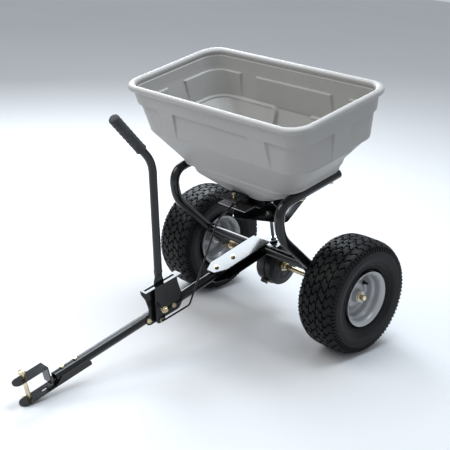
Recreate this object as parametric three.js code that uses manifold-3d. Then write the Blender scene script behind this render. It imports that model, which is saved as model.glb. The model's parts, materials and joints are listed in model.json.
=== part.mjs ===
// Tow-behind broadcast spreader, standing on its two wheels with the hitch let down to the ground.
//
// Everything is drawn as the machine is towed, level: millimetres, +X to the right wheel, -Y towards
// the hitch, +Z up, with the axle along X above the origin. The finished machine is then tipped about
// the axle until the hitch touches the ground, and moved so that the origin is the middle of its
// footprint.

import * as THREE from 'three';
import * as BufferGeometryUtils from 'three/addons/utils/BufferGeometryUtils.js';
import Module from 'manifold-3d';

const wasm = await Module();
wasm.setup();

// ---------------------------------------------------------------- driving dimensions

const GAP = 0.3; // between neighbours that touch on the real machine
const REST_PITCH = THREE.MathUtils.degToRad(12.82); // nose-down angle with the hitch on the ground

const TYRE_RADIUS = 190.5; // a 15 x 6.00-6 tyre
const TYRE_WIDTH = 150;
const WHEEL_X = 338; // middle of each wheel
const RIM_FLANGE_RADIUS = 92;
const RIM_FLANGE_X = 61; // rim flange, from the middle of the wheel
const AXLE_Z = TYRE_RADIUS;
const AXLE_RADIUS = 9;
const AXLE_HALF_LENGTH = 394;
const HUB_RADIUS = 19;
const HUB_HALF_LENGTH = 38;

const TUBE_RADIUS = 16; // frame tubes, crossbar and tongue
const TUBE_WALL = 2;
const FRAME_X = 244; // the two C-shaped frame tubes
const FRAME_TOP_Z = 562;
const FRAME_FRONT_Y = -195;
const FRAME_REAR_Y = 84;
const FRAME_LEG_SLOPE = 1.36; // rise over run of the lower legs, which aim at the axle
const TONGUE_Z = 290; // middle of the crossbar and of the tongue's rear end
const TONGUE_TILT = THREE.MathUtils.degToRad(2.1); // slope of the tongue, down towards the hitch
const CROSSBAR_Y = (TONGUE_Z - AXLE_Z) / -FRAME_LEG_SLOPE;
const TONGUE_FRONT_Y = -925;
const TONGUE_REAR_Y = CROSSBAR_Y - TUBE_RADIUS - GAP;
const PLATE = 4; // thickness of the tongue plates

// The hitch is drawn beside a tongue that runs level at TONGUE_Z, and then tilted about the crossbar.
const HITCH_PIN_Y = -1018;
const HITCH_PIN_RADIUS = 6.5;
const HITCH_PIN_RISE = 18; // from the strap to the head of the pin
const HITCH_HALF_WIDTH = 19;
const HITCH_THICK = 4;
const HITCH_FLOOR_Z = TONGUE_Z - TUBE_RADIUS - GAP - HITCH_THICK; // underside of the lower hitch bracket
const HITCH_STRAP_Z = 343.5; // underside of the upper hitch strap

const HOPPER_HALF_LENGTH = 400;
const HOPPER_HALF_WIDTH = 216;
const HOPPER_RIM_CORNER = 69;
const HOPPER_TOP_Z = 859;
const HOPPER_FLOOR_Z = 500;
const HOPPER_Y = -24;
const FUNNEL_Y = -12;

const SHAFT_RADIUS = 6; // upright impeller shaft, straight above the axle
const GATE_Z = 479;
const GATE_THICK = 2.5;
const OUTLET_Z = 484;
const OUTLET_X = 42; // middle of each of the two outlets
const GATE_PIN = { x: 5, y: -155 }; // upright pin on the gate, which the control rod's eye fits over
const ROD_EYE_Z = 490;

const IMPELLER_Z = 408;
const IMPELLER_CORNER = 133; // from the shaft to a corner of the square plate
const IMPELLER_TURN = THREE.MathUtils.degToRad(-23.3);
const VANE_HEIGHT = 28;

const GEARBOX_RADIUS = 70;
const GEARBOX_X = [-28, 36];
const GEARBOX_SEAM_X = 4;
const CROWN_TEETH = 24;
const PINION_TEETH = 6;
const CROWN_PITCH_RADIUS = 52;
const PINION_PITCH_RADIUS = (CROWN_PITCH_RADIUS * PINION_TEETH) / CROWN_TEETH;

const BRACKET_X = TUBE_RADIUS + GAP; // inner face of the lever bracket's side plate
const BRACKET_THICK = 3;
const BRACKET_TOP_Z = 386;
const BRACKET_Y = [-588, -444];
const SLOT_Y = [-581, -463];
const BRACKET_BOLT_Y = [-577, -474];
const BLADE_X = 26.5; // inner face of the lever's flattened foot
const BLADE_THICK = 6;
const BLADE_WIDTH = 36;
const LEVER_PIVOT = { y: -534.5, z: 303 };
const LEVER_LEAN = THREE.MathUtils.degToRad(7.6); // rearward lean of the lever
const LEVER_RADIUS = 12.5;
const LEVER_BEND = THREE.MathUtils.degToRad(38.8); // forward bend below the grip
const LEVER_STRAIGHT = 476; // pivot to bend
const LEVER_UPPER = 205; // bend to the end
const GRIP_LENGTH = 145;
const ROD_ARM = 42; // control rod pin, below the lever's pivot
const ROD_RADIUS = 3;
const ROD_X = 42;

// ---------------------------------------------------------------- materials

function finish(color, roughness, metalness) {
  return new THREE.MeshStandardMaterial({ color, roughness, metalness });
}

const hopperPlastic = finish(0xa9a8a4, 0.6, 0);
const blackPaint = finish(0x141516, 0.3, 0.2);
const blackPlastic = finish(0x1b1c1d, 0.5, 0);
const gripRubber = finish(0x303234, 0.8, 0);
const tyreRubber = finish(0x1a1b1c, 0.85, 0);
const rimPaint = finish(0x94979a, 0.4, 0.5);
const yellowZinc = finish(0xc9b070, 0.35, 0.9);
const brightZinc = finish(0xc2c8d0, 0.3, 0.9);
const gateSteel = finish(0x8a8d90, 0.45, 0.8);
const gearSteel = finish(0x7c7e80, 0.5, 0.8);

// ---------------------------------------------------------------- helpers

const model = new THREE.Group();

/** A closed geometry, or a list of them joined, as a solid that can be cut. */
function solid(...geometries) {
  const solids = geometries.map((geometry) => {
    const bare = geometry.clone();
    bare.deleteAttribute('normal');
    bare.deleteAttribute('uv');
    const merged = BufferGeometryUtils.mergeVertices(bare, 1e-4);
    const vertProperties = new Float32Array(merged.attributes.position.array);
    const triVerts = new Uint32Array(merged.index.array);
    return new wasm.Manifold(new wasm.Mesh({ numProp: 3, vertProperties, triVerts }));
  });
  return solids.reduce((sum, next) => sum.add(next));
}

function cut(body, ...tools) {
  return tools.reduce((rest, tool) => rest.subtract(tool), body);
}

function toGeometry(body) {
  const { numProp, vertProperties, triVerts } = body.getMesh();
  const geometry = new THREE.BufferGeometry();
  geometry.setAttribute('position', new THREE.BufferAttribute(new Float32Array(vertProperties), numProp));
  geometry.setIndex(new THREE.BufferAttribute(new Uint32Array(triVerts), 1));
  return geometry;
}

function piece(name, body, material, parent = model) {
  const geometry = body.isBufferGeometry ? body : toGeometry(body);
  const mesh = new THREE.Mesh(geometry, material);
  mesh.name = name;
  parent.add(mesh);
  return mesh;
}

function box([x0, x1], [y0, y1], [z0, z1]) {
  const geometry = new THREE.BoxGeometry(x1 - x0, y1 - y0, z1 - z0);
  return geometry.translate((x0 + x1) / 2, (y0 + y1) / 2, (z0 + z1) / 2);
}

/** A round bar of a given radius between two points. */
function bar(from, to, radius, sides = 12) {
  const start = new THREE.Vector3(...from);
  const along = new THREE.Vector3(...to).sub(start);
  const geometry = new THREE.CylinderGeometry(radius, radius, along.length(), sides);
  const upright = new THREE.Vector3(0, 1, 0);
  const turn = new THREE.Quaternion().setFromUnitVectors(upright, along.clone().normalize());
  return geometry.applyQuaternion(turn).translate(...start.addScaledVector(along, 0.5).toArray());
}

/** A closed [radius, height] outline turned about Z, or about X when axis is 'x'. */
function turned(outline, axis = 'z', sides = 24) {
  const points = outline.map(([radius, height]) => new THREE.Vector2(radius, height));
  if (THREE.ShapeUtils.area(points) < 0) points.reverse();
  points.push(points[0].clone());
  const geometry = new THREE.LatheGeometry(points, sides);
  return axis === 'x' ? geometry.rotateZ(-Math.PI / 2) : geometry.rotateX(Math.PI / 2);
}

function outlineShape(points) {
  return new THREE.Shape(points.map(([u, v]) => new THREE.Vector2(u, v)));
}

/** An outline in X and Y, raised from z0 to z1. */
function plateZ(points, [z0, z1]) {
  const options = { depth: z1 - z0, bevelEnabled: false, curveSegments: 6 };
  return new THREE.ExtrudeGeometry(outlineShape(points), options).translate(0, 0, z0);
}

/** An outline in Y and Z, extruded from x0 to x1. */
function plateX(points, [x0, x1]) {
  const options = { depth: x1 - x0, bevelEnabled: false };
  const axes = new THREE.Matrix4().makeBasis(
    new THREE.Vector3(0, 1, 0), new THREE.Vector3(0, 0, 1), new THREE.Vector3(1, 0, 0));
  return new THREE.ExtrudeGeometry(outlineShape(points), options).applyMatrix4(axes).translate(x0, 0, 0);
}

/** A path that goes through its stations at even steps, however far apart they are. */
class StationPath extends THREE.Curve {
  constructor(stations) {
    super();
    this.stations = stations;
  }

  getPointAt(t) {
    return this.stations[Math.round(t * (this.stations.length - 1))].clone();
  }

  getTangentAt(t) {
    const i = Math.round(t * (this.stations.length - 1));
    const before = this.stations[Math.max(i - 1, 0)];
    const after = this.stations[Math.min(i + 1, this.stations.length - 1)];
    return after.clone().sub(before).normalize();
  }
}

/** A path through corner points with each inner corner rounded over the given length. */
function roundedPath(corners, rounding = []) {
  const points = corners.map((corner) => new THREE.Vector3(...corner));
  const stations = [points[0]];
  const stepsPerBend = 4;
  for (let i = 1; i < points.length - 1; i += 1) {
    const before = points[i].clone().sub(points[i - 1]).setLength(-rounding[i - 1]).add(points[i]);
    const after = points[i + 1].clone().sub(points[i]).setLength(rounding[i - 1]).add(points[i]);
    stations.push(...new THREE.QuadraticBezierCurve3(before, points[i], after).getPoints(stepsPerBend));
  }
  stations.push(points[points.length - 1]);
  return new StationPath(stations);
}

/** A round section of 2 x halfSides sides swept along a path; hollow when a wall is given. */
function tube(path, radius, { wall = 0, halfSides = 5 } = {}) {
  const section = new THREE.Shape().absarc(0, 0, radius, 0, 2 * Math.PI);
  if (wall > 0) section.holes.push(new THREE.Path().absarc(0, 0, radius - wall, 0, 2 * Math.PI, true));
  const steps = path.stations.length - 1;
  return new THREE.ExtrudeGeometry(section, { extrudePath: path, steps, curveSegments: halfSides });
}

/** A point drawn beside the level tongue, moved to where the tongue's slope puts it. */
function onTongue(x, y, z) {
  const offset = new THREE.Vector2(y - CROSSBAR_Y, z - TONGUE_Z);
  offset.rotateAround(new THREE.Vector2(), TONGUE_TILT);
  return [x, CROSSBAR_Y + offset.x, TONGUE_Z + offset.y];
}

/** The same move for a whole solid. */
function tilt(body) {
  const degrees = THREE.MathUtils.radToDeg(TONGUE_TILT);
  const centred = body.translate([0, -CROSSBAR_Y, -TONGUE_Z]);
  return centred.rotate([degrees, 0, 0]).translate([0, CROSSBAR_Y, TONGUE_Z]);
}

// ---------------------------------------------------------------- fasteners

const fasteners = [];

/** A hexagon-headed bolt with its nut as one body, and the hole that its shank needs. */
function bolt(name, from, to, { radius = 4, nut = true, material = yellowZinc, parent = model } = {}) {
  const start = new THREE.Vector3(...from);
  const end = new THREE.Vector3(...to);
  const along = end.clone().sub(start).normalize();
  const head = radius * 1.7;
  const height = radius * 1.2;
  const at = (point, distance) => point.clone().addScaledVector(along, distance).toArray();
  const parts = [
    bar(at(start, -height), at(start, GAP), head, 6),
    bar(from, at(end, nut ? height + 2 : 0), radius, 6),
  ];
  if (nut) parts.push(bar(at(end, 0), at(end, height), head, 6));
  piece(name, solid(...parts), material, parent);
  fasteners.push(solid(bar(at(start, -GAP), at(end, nut ? height : GAP), radius + 2 * GAP, 8)));
}

/** The body with a clearance hole for every bolt that passes through it. */
function drilled(body) {
  return cut(body, ...fasteners);
}

function addFasteners() {
  const headZ = TONGUE_Z + TUBE_RADIUS + PLATE + 2 * GAP;
  const nutZ = TONGUE_Z - TUBE_RADIUS - PLATE - 2 * GAP;
  for (const [end, y] of [['front', -264], ['rear', -189]]) {
    bolt(`tongue_bolt_${end}`, onTongue(0, y, headZ), onTongue(0, y, nutZ));
  }

  const hitchTop = TONGUE_Z + TUBE_RADIUS + GAP;
  const hitchBottom = HITCH_FLOOR_Z - GAP;
  for (const [end, y] of [['front', -894], ['rear', -846]]) {
    const options = { radius: 4.5, nut: false };
    bolt(`hitch_bolt_${end}`, onTongue(0, y, hitchTop), onTongue(0, y, hitchBottom), options);
  }

  for (const [side, x] of [['left', -FRAME_X], ['right', FRAME_X]]) {
    for (const [end, y] of [['front', -88], ['rear', 48]]) {
      const top = FRAME_TOP_Z + TUBE_RADIUS + 7;
      const bottom = FRAME_TOP_Z - TUBE_RADIUS - GAP;
      bolt(`hopper_bolt_${end}_${side}`, [x, y, top], [x, y, bottom]);
    }
  }

  const outer = BRACKET_X + BRACKET_THICK + GAP;
  const inner = -TUBE_RADIUS - GAP;
  const [frontY, rearY] = BRACKET_BOLT_Y;
  bolt('bracket_bolt_front', onTongue(outer, frontY, TONGUE_Z), onTongue(inner, frontY, TONGUE_Z));
  bolt('bracket_bolt_rear', onTongue(outer, rearY, TONGUE_Z), onTongue(inner, rearY, TONGUE_Z));
}

// ---------------------------------------------------------------- frame and tongue

function addFrameTubes() {
  const legAtFront = AXLE_Z - FRAME_LEG_SLOPE * FRAME_FRONT_Y;
  const legLength = Math.hypot(1, FRAME_LEG_SLOPE);
  const sleeve = TUBE_RADIUS + 2 * GAP;
  for (const [side, x] of [['left', -FRAME_X], ['right', FRAME_X]]) {
    const corners = [
      [x, FRAME_REAR_Y, FRAME_TOP_Z],
      [x, FRAME_FRONT_Y, FRAME_TOP_Z],
      [x, FRAME_FRONT_Y, legAtFront],
      [x, -sleeve / legLength, AXLE_Z + (sleeve * FRAME_LEG_SLOPE) / legLength],
    ];
    const path = roundedPath(corners, [60, 38]);
    const frameTube = solid(tube(path, TUBE_RADIUS, { wall: TUBE_WALL }));
    piece(`frame_tube_${side}`, drilled(frameTube), blackPaint);

    const bore = AXLE_RADIUS + GAP;
    const bushing = [[bore, -22], [TUBE_RADIUS, -22], [TUBE_RADIUS, 22], [bore, 22]];
    piece(`axle_bushing_${side}`, turned(bushing, 'x', 20).translate(x, 0, AXLE_Z), yellowZinc);
  }

  const reach = FRAME_X - TUBE_RADIUS - GAP;
  const crossPath = roundedPath([[-reach, CROSSBAR_Y, TONGUE_Z], [reach, CROSSBAR_Y, TONGUE_Z]]);
  const crossbar = solid(tube(crossPath, TUBE_RADIUS, { wall: TUBE_WALL, halfSides: 6 }));
  piece('crossbar', drilled(crossbar), blackPaint);
}

function addTongue() {
  const path = roundedPath([onTongue(0, TONGUE_FRONT_Y, TONGUE_Z), onTongue(0, TONGUE_REAR_Y, TONGUE_Z)]);
  const tongue = solid(tube(path, TUBE_RADIUS, { wall: TUBE_WALL, halfSides: 6 }));
  piece('tongue_tube', drilled(tongue), blackPaint);

  const half = 38;
  const nose = 16;
  const rear = CROSSBAR_Y + 20;
  const upper = [[-half, rear], [-half, -254], [-nose, -292], [nose, -292], [half, -254], [half, rear]];
  const top = TONGUE_Z + TUBE_RADIUS + GAP;
  const bottom = TONGUE_Z - TUBE_RADIUS - GAP;
  piece('tongue_plate_upper', drilled(tilt(solid(plateZ(upper, [top, top + PLATE])))), blackPaint);

  // The lower plate runs on past the crossbar and holds the neck of the gearbox.
  const lower = upper.map(([x, y]) => [x, y === rear ? 24 : y]);
  const neckHole = solid(bar([0, 0, bottom - 3 * PLATE], [0, 0, bottom + 3 * PLATE], 12 + 3 * GAP, 16));
  const lowerPlate = cut(drilled(tilt(solid(plateZ(lower, [bottom - PLATE, bottom])))), neckHole);
  piece('tongue_plate_lower', lowerPlate, blackPaint);
}

// ---------------------------------------------------------------- hitch

/** A strap outline with a half-round nose at the front. */
function strapOutline(halfWidth, front, rear) {
  const points = [[halfWidth, rear], [-halfWidth, rear]];
  const steps = 10;
  for (let i = 0; i <= steps; i += 1) {
    const angle = Math.PI + (Math.PI * i) / steps;
    points.push([halfWidth * Math.cos(angle), front + halfWidth + halfWidth * Math.sin(angle)]);
  }
  return points.reverse();
}

/** Lower bracket: a flat nose with a short slot, which becomes a channel under and beside the tongue. */
function addHitchBracket(pinHole) {
  const front = HITCH_PIN_Y - 33;
  const saddleRear = -806;
  const floorTop = HITCH_FLOOR_Z + HITCH_THICK;
  const wallOut = TUBE_RADIUS + GAP + HITCH_THICK;
  const wallTop = TONGUE_Z + 3;
  const floor = solid(plateZ(strapOutline(wallOut, front, saddleRear), [HITCH_FLOOR_Z, floorTop]));
  const profile = [
    [-934, floorTop - 1], [saddleRear, floorTop - 1], [saddleRear, wallTop - 12],
    [saddleRear - 12, wallTop], [-912, wallTop],
  ];
  const walls = [[-wallOut, HITCH_THICK - wallOut], [wallOut - HITCH_THICK, wallOut]]
    .map((across) => solid(plateX(profile, across)));
  const bracket = walls.reduce((sum, wall) => sum.add(wall), floor);
  const slot = solid(box([-4, 4], [-976, -958], [HITCH_FLOOR_Z - HITCH_THICK, floorTop + HITCH_THICK]));
  piece('hitch_bracket', drilled(tilt(cut(bracket, pinHole, slot))), blackPaint);
}

/** Upper strap: a flat nose, a drop in front of the tongue's open end, and a tail inside the tongue. */
function addHitchStrap(pinHole) {
  const strapTop = HITCH_STRAP_Z + HITCH_THICK;
  const dropY = -945;
  const tailRear = -834;
  const narrow = 11;
  const outline = strapOutline(HITCH_HALF_WIDTH, HITCH_PIN_Y - 37, dropY);
  const nose = solid(plateZ(outline, [HITCH_STRAP_Z, strapTop]));
  const tailTop = TONGUE_Z + HITCH_THICK / 2;
  const tailBottom = tailTop - HITCH_THICK;
  const across = [-HITCH_HALF_WIDTH, HITCH_HALF_WIDTH];
  const drop = solid(box(across, [dropY - HITCH_THICK, dropY], [tailBottom, strapTop]));
  const tail = solid(box([-narrow, narrow], [dropY - 1, tailRear], [tailBottom, tailTop]));
  piece('hitch_strap', drilled(tilt(cut(nose.add(drop).add(tail), pinHole))), blackPaint);
}

function addHitchPin() {
  const headZ = HITCH_STRAP_Z + HITCH_THICK + HITCH_PIN_RISE;
  const pinEnd = HITCH_FLOOR_Z - 7;
  const outline = [
    [0, pinEnd], [HITCH_PIN_RADIUS - 1, pinEnd], [HITCH_PIN_RADIUS, pinEnd + 1], [HITCH_PIN_RADIUS, headZ],
    [11, headZ], [11, headZ + 6], [7, headZ + 9], [0, headZ + 10],
  ];
  const clipZ = HITCH_FLOOR_Z - 3.6;
  const clipRadius = 1.4;
  const clipHole = solid(bar([-20, HITCH_PIN_Y, clipZ], [20, HITCH_PIN_Y, clipZ], clipRadius + 0.2, 8));
  const pin = solid(turned(outline, 'z', 16).translate(0, HITCH_PIN_Y, 0));
  piece('hitch_pin', tilt(cut(pin, clipHole)), yellowZinc);

  // Clip: a straight leg through the pin and a second leg sprung round the outside of it.
  const outside = HITCH_PIN_RADIUS + clipRadius + 0.4;
  const clipPath = roundedPath([
    [16, HITCH_PIN_Y, clipZ],
    [-26, HITCH_PIN_Y, clipZ],
    [-26, HITCH_PIN_Y - outside, clipZ],
    [12, HITCH_PIN_Y - outside, clipZ],
  ], [4, 4]);
  piece('hitch_clip', tilt(solid(tube(clipPath, clipRadius, { halfSides: 3 }))), yellowZinc);
}

function addHitch() {
  const bottom = HITCH_FLOOR_Z - 2 * HITCH_THICK;
  const top = HITCH_STRAP_Z + 2 * HITCH_THICK;
  const pinHole = solid(bar([0, HITCH_PIN_Y, bottom], [0, HITCH_PIN_Y, top], HITCH_PIN_RADIUS + 1, 16));
  addHitchBracket(pinHole);
  addHitchStrap(pinHole);
  addHitchPin();
}

// ---------------------------------------------------------------- axle and wheels

function tyreOutline() {
  const half = TYRE_WIDTH / 2;
  const outside = [[84, -46], [104, -62], [132, -half + 1], [154, -half], [180, -66], [TYRE_RADIUS, -38]];
  const mirrored = outside.slice().reverse().map(([radius, x]) => [radius, -x]);
  const inside = [[84, 38], [106, 54], [152, 64], [172, 50], [172, -50], [152, -64], [106, -54], [84, -38]];
  return [...outside, ...mirrored, ...inside];
}

function rimOutline() {
  const flange = RIM_FLANGE_X;
  const seat = RIM_FLANGE_RADIUS - 11;
  const well = 72;
  const bore = AXLE_RADIUS + GAP;
  const hub = HUB_HALF_LENGTH;
  return [
    // under the barrel: outer flange, well, dished disc, hub
    [RIM_FLANGE_RADIUS - 2, flange + 4], [seat - 3, flange - 5], [well - 3, 29], [well - 3, 10],
    [56, 4], [44, 14], [HUB_RADIUS, 18], [HUB_RADIUS, hub], [bore, hub],
    [bore, -hub], [HUB_RADIUS, -hub], [HUB_RADIUS, 13], [42, 9], [56, -1],
    [well - 3, 4], [well - 3, -29], [seat - 3, -flange + 5], [RIM_FLANGE_RADIUS - 2, -flange - 4],
    // the tyre's side of the barrel
    [RIM_FLANGE_RADIUS, -flange], [seat, -flange + 8], [well, -26], [well, 26], [seat, flange - 8],
    [RIM_FLANGE_RADIUS, flange],
  ];
}

/** One wheel at the origin, its outer side towards +X. */
function addWheel(side, parent) {
  const rimHoleAngle = THREE.MathUtils.degToRad(62);
  const valveRadius = 57;
  const valveY = valveRadius * Math.sin(rimHoleAngle);
  const valveZ = valveRadius * Math.cos(rimHoleAngle);
  const valveHole = solid(bar([-30, valveY, valveZ], [60, valveY, valveZ], 4 + GAP, 8));
  piece(`wheel_rim_${side}`, cut(solid(turned(rimOutline(), 'x', 24)), valveHole), rimPaint, parent);
  piece(`tyre_${side}`, turned(tyreOutline(), 'x', 24), tyreRubber, parent);
  piece(`valve_stem_${side}`, bar([-8, valveY, valveZ], [34, valveY, valveZ], 4, 8), blackPlastic, parent);

  const washer = [
    [AXLE_RADIUS + GAP, HUB_HALF_LENGTH + GAP], [16, HUB_HALF_LENGTH + GAP],
    [16, HUB_HALF_LENGTH + 3], [AXLE_RADIUS + GAP, HUB_HALF_LENGTH + 3],
  ];
  piece(`wheel_washer_${side}`, turned(washer, 'x', 16), yellowZinc, parent);

  const cotterX = HUB_HALF_LENGTH + 8;
  piece(`cotter_pin_${side}`, bar([cotterX, 0, -15], [cotterX, 0, 17], 1.8, 8), brightZinc, parent);
}

function addWheels() {
  for (const [side, sign] of [['left', -1], ['right', 1]]) {
    const wheel = new THREE.Group();
    wheel.position.set(sign * WHEEL_X, 0, AXLE_Z);
    wheel.rotation.set(-REST_PITCH, 0, sign < 0 ? Math.PI : 0, 'XYZ');
    model.add(wheel);
    addWheel(side, wheel);
  }
}

function addAxle() {
  const half = AXLE_HALF_LENGTH;
  const chamfer = AXLE_RADIUS - 1.5;
  const outline = [
    [0, -half], [chamfer, -half], [AXLE_RADIUS, 2 - half],
    [AXLE_RADIUS, half - 2], [chamfer, half], [0, half],
  ];
  const axle = solid(turned(outline, 'x', 20).rotateX(-REST_PITCH).translate(0, 0, AXLE_Z));
  const cotterX = WHEEL_X + HUB_HALF_LENGTH + 8;
  const tilt = new THREE.Vector3(0, Math.sin(REST_PITCH), Math.cos(REST_PITCH)).multiplyScalar(25);
  const cotterHoles = [-1, 1].map((sign) => solid(bar(
    [sign * cotterX, -tilt.y, AXLE_Z - tilt.z], [sign * cotterX, tilt.y, AXLE_Z + tilt.z], 1.8 + GAP, 8)));
  piece('axle', cut(axle, ...cotterHoles), yellowZinc);

  const face = GEARBOX_X[1] + 1;
  const bore = AXLE_RADIUS + GAP;
  const collar = [
    [bore, face], [17, face], [17, face + 4], [13, face + 4], [13, face + 14], [bore, face + 14],
  ];
  piece('axle_collar', turned(collar, 'x', 20).translate(0, 0, AXLE_Z), yellowZinc);
}

// ---------------------------------------------------------------- gearbox

function addGearbox() {
  const [left, right] = GEARBOX_X;
  const wall = 2.6;
  const neckTop = TONGUE_Z - TUBE_RADIUS + 5;
  const drum = solid(
    bar([left, 0, AXLE_Z], [right, 0, AXLE_Z], GEARBOX_RADIUS, 24),
    bar([0, 0, 250], [0, 0, neckTop], 12, 16));
  const cavity = solid(bar([left + wall, 0, AXLE_Z], [right - wall, 0, AXLE_Z], GEARBOX_RADIUS - 4, 24));
  const axleBore = solid(bar([left - 9, 0, AXLE_Z], [right + 9, 0, AXLE_Z], AXLE_RADIUS + 0.8, 16));
  const shaftBore = solid(bar([0, 0, AXLE_Z], [0, 0, neckTop + 9], SHAFT_RADIUS + 0.8, 16));
  const screws = [];
  for (const [end, angle] of [['front', -150], ['rear', -30]]) {
    const radians = THREE.MathUtils.degToRad(angle);
    const radius = GEARBOX_RADIUS + 6;
    const y = radius * Math.cos(radians);
    const z = AXLE_Z + radius * Math.sin(radians);
    screws.push([end, y, z]);
  }
  const lugs = screws.map(([, y, z]) => solid(bar([-8, y, z], [16, y, z], 8, 12)));
  const housing = cut(lugs.reduce((sum, lug) => sum.add(lug), drum), cavity, axleBore, shaftBore);
  for (const [end, y, z] of screws) {
    bolt(`gearbox_screw_${end}`, [16 + GAP, y, z], [-8 - GAP, y, z], { radius: 2.5, nut: false });
  }
  const leftSide = solid(box([-90, GEARBOX_SEAM_X - GAP / 2], [-120, 120], [50, 350]));
  const rightSide = solid(box([GEARBOX_SEAM_X + GAP / 2, 90], [-120, 120], [50, 350]));
  piece('gearbox_left', drilled(housing.intersect(leftSide)), blackPlastic);
  piece('gearbox_right', drilled(housing.intersect(rightSide)), blackPlastic);
}

/** Crown gear on the axle: a disc with radial teeth that stand out along X. */
function addCrownGear() {
  const face = -PINION_PITCH_RADIUS - 5;
  const disc = [
    [AXLE_RADIUS + 0.2, face - 5], [58, face - 5], [58, face],
    [24, face], [18, face + 8], [AXLE_RADIUS + 0.2, face + 8],
  ];
  const teeth = [];
  for (let i = 0; i < CROWN_TEETH; i += 1) {
    const section = [[-2, face - 1], [-1.1, face + 6.8], [1.1, face + 6.8], [2, face - 1]];
    const points = section.map(([y, x]) => new THREE.Vector2(x, y));
    const tooth = new THREE.ExtrudeGeometry(new THREE.Shape(points), { depth: 12, bevelEnabled: false });
    tooth.translate(0, 0, CROWN_PITCH_RADIUS - 6).rotateX((2 * Math.PI * (i + 0.5)) / CROWN_TEETH);
    teeth.push(solid(tooth));
  }
  const gear = teeth.reduce((sum, tooth) => sum.add(tooth), solid(turned(disc, 'x', 24)));
  piece('crown_gear', gear.translate([0, 0, AXLE_Z]), gearSteel);
}

/** Pinion on the impeller shaft: one tooth points at the crown gear. */
function addPinion() {
  const root = { radius: 10.2, half: 0.2 };
  const tip = { radius: 15.4, half: 0.08 };
  const corners = [];
  for (let i = 0; i < PINION_TEETH; i += 1) {
    const middle = Math.PI + (2 * Math.PI * i) / PINION_TEETH;
    const place = ({ radius, half }, side) => {
      const angle = middle + side * half;
      corners.push([radius * Math.cos(angle), radius * Math.sin(angle)]);
    };
    place(root, -1);
    place(tip, -1);
    place(tip, 1);
    place(root, 1);
  }
  const low = AXLE_Z + CROWN_PITCH_RADIUS - 5;
  const gear = solid(plateZ(corners, [low, low + 10]));
  const bore = solid(bar([0, 0, low - 5], [0, 0, low + 15], SHAFT_RADIUS + 0.2, 16));
  piece('pinion', cut(gear, bore), gearSteel);
}

// ---------------------------------------------------------------- impeller

function addImpeller() {
  const agitatorZ = HOPPER_FLOOR_Z + 24;
  const shaftBottom = AXLE_Z + CROWN_PITCH_RADIUS - 8;
  const shaft = solid(bar([0, 0, shaftBottom], [0, 0, agitatorZ + 12], SHAFT_RADIUS, 16));
  const pinHole = solid(bar([-40, 0, agitatorZ], [40, 0, agitatorZ], 2.5 + GAP, 8));
  piece('impeller_shaft', cut(shaft, pinHole), gearSteel);
  piece('agitator_pin', bar([-36, 0, agitatorZ], [36, 0, agitatorZ], 2.5, 8), brightZinc);

  const neckTop = TONGUE_Z - TUBE_RADIUS + 5;
  const collar = [
    [SHAFT_RADIUS + 0.2, neckTop + 1], [14, neckTop + 1], [14, neckTop + 4], [10.5, neckTop + 4],
    [10.5, neckTop + 14], [SHAFT_RADIUS + 0.2, neckTop + 14],
  ];
  piece('shaft_collar', turned(collar, 'z', 16), brightZinc);

  // Square plate with clipped corners, a hub below it and an upright vane along each diagonal.
  const clip = 0.07;
  const outline = [];
  const vanes = [];
  for (let i = 0; i < 4; i += 1) {
    const angle = IMPELLER_TURN + (i * Math.PI) / 2;
    outline.push([IMPELLER_CORNER * Math.cos(angle - clip), IMPELLER_CORNER * Math.sin(angle - clip)]);
    outline.push([IMPELLER_CORNER * Math.cos(angle + clip), IMPELLER_CORNER * Math.sin(angle + clip)]);
    const vane = box([12, IMPELLER_CORNER - 3], [-1.25, 1.25], [IMPELLER_Z + 1, IMPELLER_Z + VANE_HEIGHT]);
    vanes.push(solid(vane.rotateZ(angle)));
  }
  const hub = bar([0, 0, IMPELLER_Z - 18], [0, 0, IMPELLER_Z + 16], 14, 16);
  const plate = solid(plateZ(outline, [IMPELLER_Z, IMPELLER_Z + 2.5]), hub);
  const body = vanes.reduce((sum, vane) => sum.add(vane), plate);
  const bore = solid(bar([0, 0, IMPELLER_Z - 30], [0, 0, IMPELLER_Z + 40], SHAFT_RADIUS + 0.2, 16));
  piece('impeller', cut(body, bore), blackPaint);
}

// ---------------------------------------------------------------- hopper and gate

/** One level of the hopper: a rounded rectangle as a closed loop of points. */
function hopperRing([halfLength, halfWidth, corner, z, y]) {
  const perCorner = 5;
  const loop = [];
  for (const [sx, sy, start] of [[1, 1, 0], [-1, 1, 1], [-1, -1, 2], [1, -1, 3]]) {
    for (let i = 0; i < perCorner; i += 1) {
      const angle = (Math.PI / 2) * (start + i / (perCorner - 1));
      const cx = sx * (halfLength - corner);
      const cy = y + sy * (halfWidth - corner);
      loop.push([cx + corner * Math.cos(angle), cy + corner * Math.sin(angle), z]);
    }
  }
  return loop;
}

/** A closed skin through a list of rings, with the first and last ring joined or capped. */
function skin(rings, capped) {
  const count = rings[0].length;
  const positions = rings.flat(2);
  const index = [];
  const last = capped ? rings.length - 1 : rings.length;
  for (let r = 0; r < last; r += 1) {
    const below = r * count;
    const above = ((r + 1) % rings.length) * count;
    for (let i = 0; i < count; i += 1) {
      const next = (i + 1) % count;
      index.push(below + i, above + i, below + next);
      index.push(below + next, above + i, above + next);
    }
  }
  const geometry = new THREE.BufferGeometry();
  geometry.setAttribute('position', new THREE.Float32BufferAttribute(positions, 3));
  geometry.setIndex(index);
  return geometry;
}

/** The middle of the hopper floor, which joins the outer skin to the inner one. */
function floorRing(z) {
  return hopperRing([10, 10, 10, z, 0]);
}

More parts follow.
